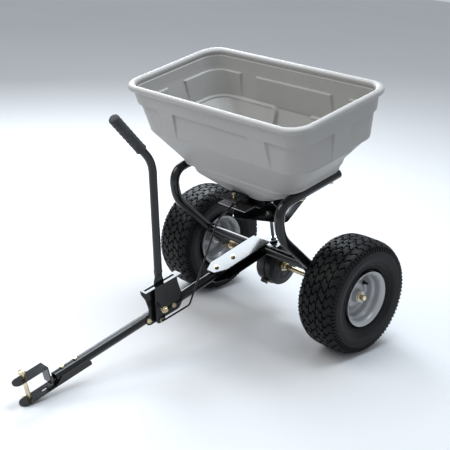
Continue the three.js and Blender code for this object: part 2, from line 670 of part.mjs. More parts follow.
function hopperRings() {
  const rim = (inset, z) => [
    HOPPER_HALF_LENGTH - inset, HOPPER_HALF_WIDTH - inset, HOPPER_RIM_CORNER - inset * 0.5, z, HOPPER_Y];
  const top = HOPPER_TOP_Z;
  const floor = HOPPER_FLOOR_Z;
  const outside = [
    rim(20, top - 17), rim(16, top - 4), rim(9.5, top), rim(3, top - 4), rim(0, top - 12), rim(3, top - 20),
    rim(12, top - 22), rim(20, top - 63), rim(27, top - 69),
    [363, 184, 78, 693, HOPPER_Y + 2], [262, 141, 74, 590, HOPPER_Y + 4],
    [262, 140, 74, 580, HOPPER_Y + 4], [226, 137, 70, 579.4, HOPPER_Y + 4],
    [223, 130, 70, 552, HOPPER_Y + 6], [118, 100, 60, floor, FUNNEL_Y],
  ];
  const inside = [
    [115, 97, 58, floor + 4, FUNNEL_Y], [219, 126, 68, 554, HOPPER_Y + 6],
    [222, 132, 68, 583.6, HOPPER_Y + 4], [257, 136, 72, 584, HOPPER_Y + 4],
    [258, 137, 72, 591, HOPPER_Y + 4], [359, 180, 76, 694.5, HOPPER_Y + 2],
    rim(31, top - 68), rim(25, top - 61),
  ];
  return [...outside.map(hopperRing), floorRing(floor), floorRing(floor + 4), ...inside.map(hopperRing)];
}

function outletHole([z0, z1], shift = 0) {
  return [-OUTLET_X, OUTLET_X].map((x) => solid(box([x - 17, x + 17], [shift - 24, shift + 24], [z0, z1])));
}

function addHopper() {
  const shell = solid(skin(hopperRings(), false));
  const outlets = outletHole([HOPPER_FLOOR_Z - 5, HOPPER_FLOOR_Z + 10]);
  piece('hopper', drilled(cut(shell, ...outlets)), hopperPlastic);
}

function addGate() {
  const outletTop = HOPPER_FLOOR_Z - GAP;
  const shaftHole = solid(bar([0, 0, 470], [0, 0, 510], SHAFT_RADIUS + 1.5, 16));

  // Outlet plate: a shallow tray between the hopper floor and the gate.
  const tray = solid(
    box([-92, 92], [-128, 72], [OUTLET_Z, OUTLET_Z + 3]),
    box([-92, 92], [-112, -104], [OUTLET_Z + 2, outletTop]),
    box([-92, 92], [64, 72], [OUTLET_Z + 2, outletTop]));
  const trayBody = cut(tray, shaftHole, ...outletHole([OUTLET_Z - 5, OUTLET_Z + 9]));
  piece('outlet_plate', trayBody, blackPaint);

  // Bracket that stands on the tray in front of the funnel; the gate's pin slides in its slot.
  const foot = OUTLET_Z + 3 + GAP;
  const shelfZ = foot + 26;
  const bracket = solid(
    box([-34, 40], [-127, -124.5], [foot, shelfZ + 2.5]),
    box([-34, 40], [-182, -124.5], [shelfZ, shelfZ + 2.5]));
  const pinX = [GATE_PIN.x - 5, GATE_PIN.x + 5];
  const travel = [GATE_PIN.y - 20, GATE_PIN.y + 20];
  const pinSlot = solid(box(pinX, travel, [shelfZ - 5, shelfZ + 9]));
  piece('gate_bracket', cut(bracket, pinSlot), blackPaint);

  // Gate: slides fore and aft in two guides, with a slot for the shaft.
  const half = 62;
  const gateTop = GATE_Z + GATE_THICK;
  bolt('gate_pin', [GATE_PIN.x, GATE_PIN.y, 523], [GATE_PIN.x, GATE_PIN.y, GATE_Z - GAP]);
  const plate = solid(box([-half, half], [-168, 70], [GATE_Z, gateTop]));
  const shaftSlot = solid(box([-13, 13], [-36, 36], [GATE_Z - 5, gateTop + 5]));
  const holes = outletHole([GATE_Z - 5, gateTop + 5], 14);
  piece('gate', cut(drilled(plate), shaftSlot, ...holes), gateSteel);

  for (const [side, sign] of [['left', -1], ['right', 1]]) {
    const guideTop = OUTLET_Z - GAP;
    const wall = box([half + 1, half + 4], [-100, 72], [GATE_Z - 4, guideTop]);
    const lip = box([half - 8, half + 2], [-100, 72], [GATE_Z - 4, GATE_Z - 1]);
    const guide = solid(wall, lip);
    const body = sign < 0 ? guide.mirror([1, 0, 0]) : guide;
    piece(`gate_guide_${side}`, body, blackPaint);
  }
}

// ---------------------------------------------------------------- flow lever

function addLeverBracket() {
  const [front, rear] = BRACKET_Y;
  const low = onTongue(0, (front + rear) / 2, TONGUE_Z - 17)[2];
  const side = [
    [front, BRACKET_TOP_Z], [front + 1, BRACKET_TOP_Z - 16], [front + 13, 344],
    [front + 19, 308], [front + 15, 286],
    [front + 1, 274], [front + 4, low + 2], [front + 16, low - 3], [rear - 18, low - 3], [rear - 8, low],
    [rear + 12, low + 22], [rear + 3, 330], [rear, 352], [rear, BRACKET_TOP_Z],
  ];
  const flange = box([BRACKET_X, 45], [front, rear], [BRACKET_TOP_Z - BRACKET_THICK, BRACKET_TOP_Z]);
  const slot = solid(box([24.5, 34.5], SLOT_Y, [BRACKET_TOP_Z - 9, BRACKET_TOP_Z + 9]));
  const bracket = solid(plateX(side.reverse(), [BRACKET_X, BRACKET_X + BRACKET_THICK]), flange);
  piece('lever_bracket', cut(drilled(bracket), slot), blackPaint);
}

/** The lever stands upright about its pivot at the origin, and is then leaned back. */
function addLever() {
  const x = BLADE_X + BLADE_THICK / 2;
  const bladeTop = 104;
  const half = BLADE_WIDTH / 2;
  const blade = [
    [-half, bladeTop - 18], [-half, -40], [-half + 8, -52],
    [half - 8, -52], [half, -40], [half, bladeTop - 18],
    [LEVER_RADIUS, bladeTop + 6], [-LEVER_RADIUS, bladeTop + 6],
  ];
  const up = LEVER_STRAIGHT;
  const tip = [x, -LEVER_UPPER * Math.sin(LEVER_BEND), up + LEVER_UPPER * Math.cos(LEVER_BEND)];
  const path = roundedPath([[x, 0, bladeTop], [x, 0, up], tip], [36]);
  const stem = solid(tube(path, LEVER_RADIUS, { halfSides: 6 }));
  const rodHole = solid(bar([10, 0, -ROD_ARM], [50, 0, -ROD_ARM], ROD_RADIUS + GAP, 12));
  const pivotHole = solid(bar([10, 0, 0], [50, 0, 0], 5 + GAP, 12));
  const lever = new THREE.Group();
  lever.position.set(0, LEVER_PIVOT.y, LEVER_PIVOT.z);
  lever.rotation.x = -LEVER_LEAN;
  model.add(lever);
  const bladeSolid = solid(plateX(blade.reverse(), [BLADE_X, BLADE_X + BLADE_THICK]));
  piece('flow_lever', cut(bladeSolid.add(stem), rodHole, pivotHole), blackPaint, lever);

  // Grip: a closed-end sleeve over the top of the tube.
  const inside = LEVER_RADIUS + GAP;
  const outline = [
    [0, 4], [13, 4], [16, 0], [17, -8], [16, -GRIP_LENGTH + 6], [17.5, -GRIP_LENGTH], [inside, -GRIP_LENGTH],
    [inside, 0], [0, 0],
  ];
  const grip = turned(outline.map(([r, h]) => [r, h + GAP]), 'z', 16);
  grip.rotateX(LEVER_BEND).translate(...tip);
  piece('lever_grip', grip, gripRubber, lever);
}

/** Pivot bolt with its shoulder, washer and nut in one; a bright spacer stands outside the lever's foot. */
function addLeverPivot() {
  const { y, z } = LEVER_PIVOT;
  const bracketOut = BRACKET_X + BRACKET_THICK + GAP;
  const spacerIn = BLADE_X + BLADE_THICK + GAP;
  const spacerOut = spacerIn + 17;
  const washer = spacerOut + GAP;
  const outline = [
    [0, 10], [8, 10], [8, BRACKET_X - GAP], [5, BRACKET_X - GAP],
    [5, bracketOut], [8, bracketOut], [8, BLADE_X - GAP], [5, BLADE_X - GAP],
    [5, washer], [11, washer], [11, washer + 2.5], [7.5, washer + 2.5], [7.5, washer + 10], [5, washer + 10],
    [5, washer + 13], [0, washer + 13],
  ];
  piece('lever_pivot_bolt', turned(outline, 'x', 12).translate(0, y, z), yellowZinc);
  fasteners.push(solid(bar([0, y, z], [60, y, z], 5 + GAP, 12)));
  const spacer = [[5 + GAP, spacerIn], [8, spacerIn], [8, spacerOut], [5 + GAP, spacerOut]];
  piece('lever_spacer', turned(spacer, 'x', 12).translate(0, y, z), brightZinc);
}

function rodPin() {
  return {
    y: LEVER_PIVOT.y - ROD_ARM * Math.sin(LEVER_LEAN),
    z: LEVER_PIVOT.z - ROD_ARM * Math.cos(LEVER_LEAN),
  };
}

function addControlRod() {
  const pin = rodPin();
  const eyeRadius = 9;
  const corners = [
    [21, pin.y, pin.z],
    [ROD_X, pin.y, pin.z],
    [ROD_X, -430, pin.z],
    [ROD_X - 4, -262, ROD_EYE_Z],
    [GATE_PIN.x, GATE_PIN.y - eyeRadius + 1, ROD_EYE_Z],
  ];
  const rod = solid(tube(roundedPath(corners, [5, 10, 14]), ROD_RADIUS, { halfSides: 4 }));
  const upright = (half, radius) => {
    const low = [GATE_PIN.x, GATE_PIN.y, ROD_EYE_Z - half];
    return solid(bar(low, [GATE_PIN.x, GATE_PIN.y, ROD_EYE_Z + half], radius, 12));
  };
  const eye = upright(2.5, eyeRadius);
  const hole = upright(9, 5.8);
  piece('control_rod', cut(rod.add(eye), hole), blackPaint);

  const bore = ROD_RADIUS + 2 * GAP;
  const nut = [[bore, 0], [6.5, 0], [6.5, 3.5], [bore, 3.5]];
  const nutX = BLADE_X + BLADE_THICK + GAP;
  piece('rod_nut', turned(nut, 'x', 6).translate(nutX, pin.y, pin.z), yellowZinc);
}

// ---------------------------------------------------------------- assembly

addFasteners();
addLeverPivot();
addFrameTubes();
addTongue();
addHitch();
addWheels();
addAxle();
addGearbox();
addCrownGear();
addPinion();
addImpeller();
addHopper();
addGate();
addLeverBracket();
addLever();
addControlRod();

// Tip the machine about its axle, then put the origin under the middle of it, on the ground.
const tipped = new THREE.Group();
model.position.z = -AXLE_Z;
tipped.rotation.x = REST_PITCH;
tipped.add(model);

const spreader = new THREE.Group();
spreader.add(tipped);
spreader.updateMatrixWorld(true);
const bounds = new THREE.Box3().setFromObject(spreader, true);
tipped.position.set(-(bounds.min.x + bounds.max.x) / 2, -(bounds.min.y + bounds.max.y) / 2, -bounds.min.z);
spreader.updateMatrixWorld(true);

export default spreader;
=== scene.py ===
"""Tow-behind broadcast spreader: the visible model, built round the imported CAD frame.

Shapes are drawn in the level frame of the towed machine, in millimetres, with the axle along X at
height AXLE_Z and the hitch towards -Y. LEVEL turns that frame into the row frame, in metres, where the
hitch has been let down to the ground.
"""

import json
import math
import random

import bmesh
import bpy
from mathutils import Matrix, Vector


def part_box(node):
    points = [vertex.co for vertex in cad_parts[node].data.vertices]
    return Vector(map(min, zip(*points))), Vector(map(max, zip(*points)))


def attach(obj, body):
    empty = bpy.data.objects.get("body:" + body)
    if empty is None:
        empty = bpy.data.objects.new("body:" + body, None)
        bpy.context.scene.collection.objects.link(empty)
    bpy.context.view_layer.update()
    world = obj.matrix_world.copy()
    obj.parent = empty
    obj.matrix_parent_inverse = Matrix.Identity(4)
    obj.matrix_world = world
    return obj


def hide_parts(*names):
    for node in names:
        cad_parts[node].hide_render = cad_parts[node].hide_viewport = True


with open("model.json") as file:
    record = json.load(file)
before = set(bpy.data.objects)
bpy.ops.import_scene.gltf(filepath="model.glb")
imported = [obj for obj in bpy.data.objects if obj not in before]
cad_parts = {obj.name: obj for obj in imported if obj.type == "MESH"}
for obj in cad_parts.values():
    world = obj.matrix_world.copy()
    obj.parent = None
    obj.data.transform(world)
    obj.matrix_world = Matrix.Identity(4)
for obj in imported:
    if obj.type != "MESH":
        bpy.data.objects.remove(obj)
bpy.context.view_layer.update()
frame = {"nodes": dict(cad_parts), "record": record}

# ---------------------------------------------------------------- dimensions (level frame, mm)

MM = 0.001
PITCH = math.radians(12.82)
AXLE_Z = 190.5
TYRE_R = 190.5
WHEEL_X = 338.0
TUBE_R = 16.0
TUBE_WALL = 2.0
FRAME_X = 244.0
FRAME_TOP_Z = 562.0
FRAME_FRONT_Y = -195.0
FRAME_REAR_Y = 84.0
LEG_SLOPE = 1.36
TONGUE_Z = 290.0
TONGUE_TILT = math.radians(2.1)
CROSSBAR_Y = (TONGUE_Z - AXLE_Z) / -LEG_SLOPE
TONGUE_FRONT_Y = -925.0
HITCH_PIN_Y = -1018.0
HITCH_FLOOR_Z = TONGUE_Z - TUBE_R - 4.3
HITCH_STRAP_Z = 343.5
HITCH_PIN_RISE = 18.0
HOPPER_TOP_Z = 859.0
HOPPER_FLOOR_Z = 500.0
HOPPER_Y = -24.0
IMPELLER_Z = 408.0
IMPELLER_TURN = math.radians(-23.3)
GEARBOX_R = 70.0
BLADE_X = 26.5
LEVER_PIVOT = Vector((0, -534.5, 303))
LEVER_LEAN = math.radians(7.6)
LEVER_BEND = math.radians(38.8)
LEVER_R = 12.5
LEVER_STRAIGHT = 476.0
LEVER_UPPER = 205.0
GRIP_LENGTH = 145.0
ROD_ARM = 42.0
ROD_X = 42.0
GATE_PIN = Vector((5, -155, 0))
ROD_EYE_Z = 490.0


def level_matrix():
    """From the level frame in mm to the row frame in m, taking the axle's place from the CAD."""
    low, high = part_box("axle")
    middle = (low + high) / 2
    return (
        Matrix.Translation(middle)
        @ Matrix.Rotation(PITCH, 4, "X")
        @ Matrix.Translation((0, 0, -AXLE_Z * MM))
        @ Matrix.Scale(MM, 4)
    )


LEVEL = level_matrix()


def tilt_matrix():
    """The slope of the tongue: a turn about the middle of the crossbar."""
    pivot = Vector((0, CROSSBAR_Y, TONGUE_Z))
    return Matrix.Translation(pivot) @ Matrix.Rotation(TONGUE_TILT, 4, "X") @ Matrix.Translation(-pivot)


TONGUE = LEVEL @ tilt_matrix()  # for pieces drawn beside a tongue that runs level at TONGUE_Z

# ---------------------------------------------------------------- materials


SOCKETS = {
    "metallic": "Metallic", "specular": "Specular IOR Level",
    "coat": "Coat Weight", "coat_roughness": "Coat Roughness",
}


class Shader:
    """A small builder for one procedural material."""

    def __init__(self, name):
        self.material = bpy.data.materials.new(name)
        self.material.use_nodes = True
        self.nodes = self.material.node_tree.nodes
        self.links = self.material.node_tree.links
        self.bsdf = self.nodes["Principled BSDF"]
        self.coords = self.nodes.new("ShaderNodeTexCoord").outputs["Object"]

    def link(self, source, target):
        self.links.new(source, target)

    def node(self, kind, **values):
        made = self.nodes.new(kind)
        for key, value in values.items():
            if hasattr(made, key):
                setattr(made, key, value)
            else:
                made.inputs[key.replace("_", " ").title()].default_value = value
        return made

    def noise(self, scale, detail=4.0, stretch=None):
        made = self.node("ShaderNodeTexNoise", scale=scale, detail=detail)
        source = self.coords
        if stretch:
            mapping = self.node("ShaderNodeMapping")
            mapping.inputs["Scale"].default_value = stretch
            self.link(source, mapping.inputs["Vector"])
            source = mapping.outputs["Vector"]
        self.link(source, made.inputs["Vector"])
        return made.outputs["Fac"]

    def ramp(self, source, low, high, colors):
        made = self.nodes.new("ShaderNodeValToRGB")
        first, last = made.color_ramp.elements
        first.position, last.position = low, high
        first.color, last.color = [(*c, 1.0) if len(c) == 3 else c for c in colors]
        self.link(source, made.inputs["Fac"])
        return made.outputs["Color"]

    def mix(self, factor, a, b):
        made = self.nodes.new("ShaderNodeMix")
        made.data_type = "RGBA"
        for socket, value in ((made.inputs["Factor"], factor), (made.inputs["A"], a), (made.inputs["B"], b)):
            if isinstance(value, (tuple, float)):
                socket.default_value = (*value, 1.0) if isinstance(value, tuple) else value
            else:
                self.link(value, socket)
        return made.outputs["Result"]

    def span(self, source, low, high):
        """A factor from 0 to 1 mapped to a range."""
        made = self.nodes.new("ShaderNodeMapRange")
        made.inputs["To Min"].default_value = low
        made.inputs["To Max"].default_value = high
        self.link(source, made.inputs["Value"])
        return made.outputs["Result"]

    def bump(self, source, distance, strength=1.0, below=None):
        made = self.nodes.new("ShaderNodeBump")
        made.inputs["Distance"].default_value = distance
        made.inputs["Strength"].default_value = strength
        self.link(source, made.inputs["Height"])
        if below is not None:
            self.link(below, made.inputs["Normal"])
        return made.outputs["Normal"]

    def finish(self, color, roughness, normal=None, **constants):
        self.link(color, self.bsdf.inputs["Base Color"])
        self.link(roughness, self.bsdf.inputs["Roughness"])
        if normal is not None:
            self.link(normal, self.bsdf.inputs["Normal"])
        for name, value in constants.items():
            self.bsdf.inputs[SOCKETS[name]].default_value = value
        return self.material


def hopper_plastic():
    s = Shader("hopper_plastic")
    cloud = s.noise(3.0, 5.0)
    grain = s.noise(900.0, 2.0)
    base = s.ramp(cloud, 0.3, 0.7, ((0.325, 0.314, 0.300), (0.360, 0.349, 0.335)))
    fleck = s.ramp(grain, 0.35, 0.75, ((0.93, 0.93, 0.93), (1.04, 1.04, 1.04)))
    color = s.nodes.new("ShaderNodeMix")
    color.data_type = "RGBA"
    color.blend_type = "MULTIPLY"
    color.inputs["Factor"].default_value = 1.0
    s.link(base, color.inputs["A"])
    s.link(fleck, color.inputs["B"])
    normal = s.bump(grain, 0.0004, 0.35)
    normal = s.bump(s.noise(14.0, 2.0), 0.002, 0.15, normal)
    return s.finish(color.outputs["Result"], s.span(cloud, 0.42, 0.54), normal, specular=0.45)


def black_paint():
    s = Shader("black_paint")
    cloud = s.noise(9.0, 4.0)
    peel = s.noise(420.0, 2.0)
    color = s.ramp(cloud, 0.3, 0.7, ((0.0045, 0.0047, 0.0050), (0.0065, 0.0067, 0.0070)))
    normal = s.bump(peel, 0.0001, 0.08)
    rough = s.span(s.noise(60.0, 3.0), 0.12, 0.20)
    return s.finish(color, rough, normal, specular=0.35, coat=0.2, coat_roughness=0.06)


def black_plastic():
    s = Shader("black_plastic")
    grain = s.noise(700.0, 3.0)
    color = s.ramp(s.noise(20.0, 4.0), 0.3, 0.7, ((0.004, 0.0041, 0.0043), (0.008, 0.0081, 0.0084)))
    return s.finish(color, s.span(grain, 0.24, 0.36), s.bump(grain, 0.0001, 0.15), specular=0.35)


def grip_rubber():
    s = Shader("grip_rubber")
    grain = s.noise(500.0, 3.0)
    color = s.ramp(s.noise(30.0, 4.0), 0.3, 0.7, ((0.026, 0.027, 0.029), (0.042, 0.043, 0.045)))
    return s.finish(color, s.span(grain, 0.6, 0.78), s.bump(grain, 0.0005, 0.5), specular=0.4)


def tyre_rubber():
    s = Shader("tyre_rubber")
    dust = s.noise(22.0, 6.0)
    grain = s.noise(380.0, 4.0)
    color = s.ramp(dust, 0.35, 0.75, ((0.0035, 0.0037, 0.0041), (0.008, 0.0082, 0.0086)))
    rough = s.span(dust, 0.36, 0.52)
    return s.finish(color, rough, s.bump(grain, 0.0004, 0.3), specular=0.18)


def rim_paint():
    s = Shader("rim_paint")
    flake = s.noise(1400.0, 1.0)
    cloud = s.noise(12.0, 4.0)
    base = s.ramp(cloud, 0.3, 0.7, ((0.36, 0.365, 0.375), (0.42, 0.425, 0.435)))
    color = s.mix(s.ramp(flake, 0.55, 0.8, ((0.0, 0.0, 0.0), (0.35, 0.35, 0.35))), base, (0.5, 0.51, 0.52))
    return s.finish(color, s.span(cloud, 0.28, 0.38), s.bump(flake, 0.0001, 0.1), metallic=0.3,
                    coat=0.2, coat_roughness=0.2)


def zinc(name, dark, light, tint, roughness):
    """Zinc plate: bright metal with drifting passivation tints and fine rolling marks."""
    s = Shader(name)
    cloud = s.noise(55.0, 5.0)
    base = s.ramp(cloud, 0.3, 0.7, (dark, light))
    color = s.mix(s.ramp(s.noise(25.0, 3.0), 0.5, 0.75, ((0, 0, 0), (0.5, 0.5, 0.5))), base, tint)
    marks = s.noise(300.0, 4.0, stretch=(0.2, 1.0, 1.0))
    return s.finish(color, s.span(marks, *roughness), s.bump(marks, 0.0002, 0.25), metallic=1.0)


def yellow_zinc():
    return zinc("yellow_zinc", (0.60, 0.48, 0.27), (0.78, 0.69, 0.48), (0.70, 0.58, 0.46), (0.2, 0.36))


def bright_zinc():
    return zinc("bright_zinc", (0.55, 0.58, 0.62), (0.75, 0.77, 0.80), (0.55, 0.62, 0.74), (0.2, 0.34))


def gate_steel():
    return zinc("gate_steel", (0.30, 0.30, 0.31), (0.42, 0.42, 0.43), (0.36, 0.35, 0.34), (0.32, 0.5))


def gear_steel():
    return zinc("gear_steel", (0.26, 0.26, 0.27), (0.36, 0.36, 0.37), (0.30, 0.28, 0.26), (0.3, 0.5))


MATERIALS = {
    make.__name__: make()
    for make in (hopper_plastic, black_paint, black_plastic, grip_rubber, tyre_rubber, rim_paint,
                 yellow_zinc, bright_zinc, gate_steel, gear_steel)
}

BODY_OF = {node: body for body, nodes in frame["record"]["behaviour"]["bodies"].items() for node in nodes}
SLOT_OF = {part["node"]: part["material_slot"] for part in frame["record"]["subparts"]}

# ---------------------------------------------------------------- mesh building


class Shape:
    """Vertices and faces that are added up, in level millimetres or in a piece's own frame."""

    def __init__(self):
        self.verts = []
        self.faces = []

    def add(self, verts, faces, matrix=None):
        start = len(self.verts)
        self.verts += [matrix @ Vector(v) for v in verts] if matrix else [Vector(v) for v in verts]
        self.faces += [[start + i for i in face] for face in faces]
        return self

    def loft(self, rings, caps=(True, True), loop=False, matrix=None):
        """A skin through rings of equal length; loop joins the last ring to the first."""
        count = len(rings[0])
        faces = []
        for r in range(len(rings) if loop else len(rings) - 1):
            a, b = r * count, ((r + 1) % len(rings)) * count
            for i in range(count):
                j = (i + 1) % count
                faces.append((a + i, a + j, b + j, b + i))
        if caps[0] and not loop:
            faces.append(tuple(reversed(range(count))))
        if caps[1] and not loop:
            faces.append(tuple(range((len(rings) - 1) * count, len(rings) * count)))
        return self.add([v for ring in rings for v in ring], faces, matrix)

    def lathe(self, outline, sides=48, loop=False, matrix=None):
        """An outline of (radius, x) turned about the X axis."""
        rings = []
        for radius, x in outline:
            radius = max(radius, 1e-3)
            rings.append([(x, radius * math.cos(t), radius * math.sin(t)) for t in turn(sides)])
        return self.loft(rings, loop=loop, matrix=matrix)

    def sweep(self, points, radius, sides=24, wall=0.0):
        """A round bar, or a tube when it has a wall, along a line of points."""
        outer = tube_rings(points, radius, sides)
        if not wall:
            return self.loft(outer)
        inner = tube_rings(points, radius - wall, sides)
        return self.loft(outer + inner[::-1], loop=True)

    def block(self, low, high, matrix=None):
        (x0, y0, z0), (x1, y1, z1) = low, high
        ring = [(x0, y0), (x1, y0), (x1, y1), (x0, y1)]
        return self.loft([[(x, y, z) for x, y in ring] for z in (z0, z1)], matrix=matrix)


def turn(sides):
    return [2 * math.pi * i / sides for i in range(sides)]


def smooth(value):
    value = min(max(value, 0.0), 1.0)
    return value * value * (3 - 2 * value)


def rounded(corners, rounding, steps=10):
    """A line of points through corners, each inner corner rounded over the given length."""
    corners = [Vector(c) for c in corners]
    points = [corners[0]]
    for i, reach in enumerate(rounding, 1):
        before = corners[i] + (corners[i - 1] - corners[i]).normalized() * reach
        after = corners[i] + (corners[i + 1] - corners[i]).normalized() * reach
        for k in range(steps + 1):
            t = k / steps
            points.append(before * (1 - t) ** 2 + corners[i] * 2 * t * (1 - t) + after * t * t)
    points.append(corners[-1])
    return points


def tube_rings(points, radius, sides):
    """Rings round a line of points, carried along without twist."""
    points = [Vector(p) for p in points]
    normal = None
    rings = []
    for i, point in enumerate(points):
        tangent = (points[min(i + 1, len(points) - 1)] - points[max(i - 1, 0)]).normalized()
        if normal is None:
            normal = tangent.orthogonal().normalized()
        normal = (normal - tangent * normal.dot(tangent)).normalized()
        side = tangent.cross(normal)
        rings.append([point + (normal * math.cos(t) + side * math.sin(t)) * radius for t in turn(sides)])
    return rings


def sharpen(mesh, angle):
    """Shades the mesh smooth apart from edges sharper than the angle in degrees."""
    bm = bmesh.new()
    bm.from_mesh(mesh)
    bmesh.ops.recalc_face_normals(bm, faces=bm.faces)
    for face in bm.faces:
        face.smooth = True
    for edge in bm.edges:
        edge.smooth = len(edge.link_faces) == 2 and edge.calc_face_angle(0.0) < math.radians(angle)
    bm.to_mesh(mesh)
    bm.free()


def piece(name, shape, node, extra=(), bevel=0.0, angle=35, segments=2, matrix=LEVEL):
    """A visible piece that stands for a CAD node, and for any extra nodes, with that node's body and slot."""
    mesh = bpy.data.meshes.new(name)
    mesh.from_pydata([tuple(v) for v in shape.verts], [], shape.faces)
    mesh.transform(matrix)
    sharpen(mesh, angle)
    obj = bpy.data.objects.new(name, mesh)
    bpy.context.scene.collection.objects.link(obj)
    if bevel:
        add_bevel(obj, bevel, segments)
    mesh.materials.append(MATERIALS[SLOT_OF[node]])
    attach(obj, BODY_OF[node])
    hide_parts(node, *extra)
    return obj


def add_bevel(obj, width, segments=2):
    modifier = obj.modifiers.new("edges", "BEVEL")
    modifier.width = width * MM
    modifier.segments = segments
    modifier.limit_method = "ANGLE"
    modifier.angle_limit = math.radians(40)
    modifier.harden_normals = True
    modifier.use_clamp_overlap = True


def axis_matrix(origin, direction):
    """A frame at origin whose X axis points along direction."""
    turned = Vector((1, 0, 0)).rotation_difference(Vector(direction)).to_matrix().to_4x4()
    return Matrix.Translation(Vector(origin)) @ turned


# ---------------------------------------------------------------- fasteners


def hexagon(across, x, turn_by=0.0, count=6):
    radius = across / math.sqrt(3)
    return [(x, radius * math.cos(t + turn_by), radius * math.sin(t + turn_by)) for t in turn(count)]


def hex_head(shape, across, x0, x1, matrix):
    """A hexagon prism with a chamfered outer end at x1."""
    inset = 0.86
    lift = (x1 - x0) * 0.78 + x0
    rings = [hexagon(across * 0.94, x0), hexagon(across, x0 + 0.2 * (x1 - x0)), hexagon(across, lift),
             hexagon(across * inset, x1)]
    return shape.loft(rings, matrix=matrix)


def bolt(node, start, end, radius=4.0, nut=True, washer=True, matrix=LEVEL):
    """A hex bolt from its head's seat to its nut's seat, with washers and an end that shows its thread."""
    start, end = Vector(start), Vector(end)
    along = (end - start).normalized()
    length = (end - start).length
    frame_at = axis_matrix(start, along)
    shape = Shape()
    across = radius * 3.1
    if washer:
        edge = radius * 2.0
        disc = [(radius, -1.3), (radius * 1.95, -1.3), (edge, -1.0), (edge, 0.0), (radius, 0.0)]
        shape.lathe(disc, 32, True, frame_at)
    seat = -1.3 if washer else 0.0
    hex_head(shape, across, seat, seat - radius * 1.25, frame_at)
    reach = length + (radius * 1.2 + 2.0 if nut else 0.0)
    shank = radius * 0.96
    stem = [(0, -0.5), (shank, -0.5), (shank, reach - 1.0), (radius * 0.75, reach), (0, reach)]
    shape.lathe(stem, 24, False, frame_at)
    if nut:
        rim = radius * 1.9
        disc = [(radius, length), (rim, length), (rim, length + 0.9), (radius, length + 0.9)]
        shape.lathe(disc, 32, True, frame_at)
        hex_head(shape, across, length + 0.9, length + radius * 1.25, frame_at)
        x = length + radius * 1.25
        while x < reach - 1.2:
            thread = [(radius * 0.9, x), (radius * 1.0, x + 0.35), (radius * 0.9, x + 0.7)]
            shape.lathe(thread, 20, True, frame_at)
            x += 0.9
    return piece(node.replace("bolt", "hex_bolt"), shape, node, angle=28, matrix=matrix)


def make_bolts():
    plate_top = TONGUE_Z + TUBE_R + 4.6
    plate_low = TONGUE_Z - TUBE_R - 4.6
    for end, y in (("front", -264), ("rear", -189)):
        bolt(f"tongue_bolt_{end}", (0, y, plate_top), (0, y, plate_low), matrix=TONGUE)
    hitch_top = TONGUE_Z + TUBE_R + 0.3
    hitch_low = HITCH_FLOOR_Z - 0.3
    for end, y in (("front", -894), ("rear", -846)):
        ends = (0, y, hitch_top), (0, y, hitch_low)
        bolt(f"hitch_bolt_{end}", *ends, 4.5, nut=False, washer=False, matrix=TONGUE)
    for side, x in (("left", -FRAME_X), ("right", FRAME_X)):
        for end, y in (("front", -88), ("rear", 48)):
            top, low = FRAME_TOP_Z + TUBE_R + 7, FRAME_TOP_Z - TUBE_R - 0.3
            bolt(f"hopper_bolt_{end}_{side}", (x, y, top), (x, y, low))
    outer = TUBE_R + 3.6
    for end, y in (("front", -577), ("rear", -474)):
        bolt(f"bracket_bolt_{end}", (outer, y, TONGUE_Z), (-TUBE_R - 0.3, y, TONGUE_Z), matrix=TONGUE)
    bolt("gate_pin", (GATE_PIN.x, GATE_PIN.y, 523), (GATE_PIN.x, GATE_PIN.y, 478.7), washer=False)


# ---------------------------------------------------------------- frame and tongue


def weld_bead(shape, x, outward, seed):
    """An uneven fillet of weld round the crossbar's end."""
    rng = random.Random(seed)
    rings = []
    count = 64
    for t in turn(count):
        swell = 1.0 + 0.22 * math.sin(t * 17) + rng.uniform(-0.12, 0.12)
        seam = TUBE_R + 0.6
        centre = Vector((x, CROSSBAR_Y + seam * math.cos(t), TONGUE_Z + seam * math.sin(t)))
        radial = Vector((0, math.cos(t), math.sin(t)))
        along = Vector((outward, 0, 0))
        rings.append([centre + (radial * math.cos(a) + along * math.sin(a)) * 2.8 * swell for a in turn(8)])
    return shape.loft(rings, loop=True)


def make_frame():
    leg_front = AXLE_Z - LEG_SLOPE * FRAME_FRONT_Y
    leg_length = math.hypot(1, LEG_SLOPE)
    sleeve = TUBE_R + 0.6
    for side, x in (("left", -FRAME_X), ("right", FRAME_X)):
        corners = [
            (x, FRAME_REAR_Y, FRAME_TOP_Z),
            (x, FRAME_FRONT_Y, FRAME_TOP_Z),
            (x, FRAME_FRONT_Y, leg_front),
            (x, -sleeve / leg_length, AXLE_Z + sleeve * LEG_SLOPE / leg_length),
        ]
        shape = Shape().sweep(rounded(corners, [60, 38], 16), TUBE_R, 40, TUBE_WALL)
        piece(f"frame_loop_{side}", shape, f"frame_tube_{side}", angle=50)
        bush = [(9.4, -22), (15.2, -22), (16, -21.2), (16, 21.2), (15.2, 22), (9.4, 22)]
        at = Matrix.Translation((x, 0, AXLE_Z))
        piece(f"bushing_{side}", Shape().lathe(bush, 40, True, at), f"axle_bushing_{side}")

    reach = FRAME_X - TUBE_R - 0.3
    ends = [(-reach, CROSSBAR_Y, TONGUE_Z), (reach, CROSSBAR_Y, TONGUE_Z)]
    shape = Shape().sweep(ends, TUBE_R, 40, TUBE_WALL)
    for sign in (-1, 1):
        weld_bead(shape, sign * (reach - 1.5), sign, 7 + sign)
    piece("cross_tube", shape, "crossbar", angle=50)
    rear = CROSSBAR_Y - TUBE_R - 0.3
    tongue = [(0, TONGUE_FRONT_Y, TONGUE_Z), (0, rear, TONGUE_Z)]
    shape = Shape().sweep(tongue, TUBE_R, 40, TUBE_WALL)
    piece("drawbar_tube", shape, "tongue_tube", angle=50, matrix=TONGUE)


# ---------------------------------------------------------------- hitch


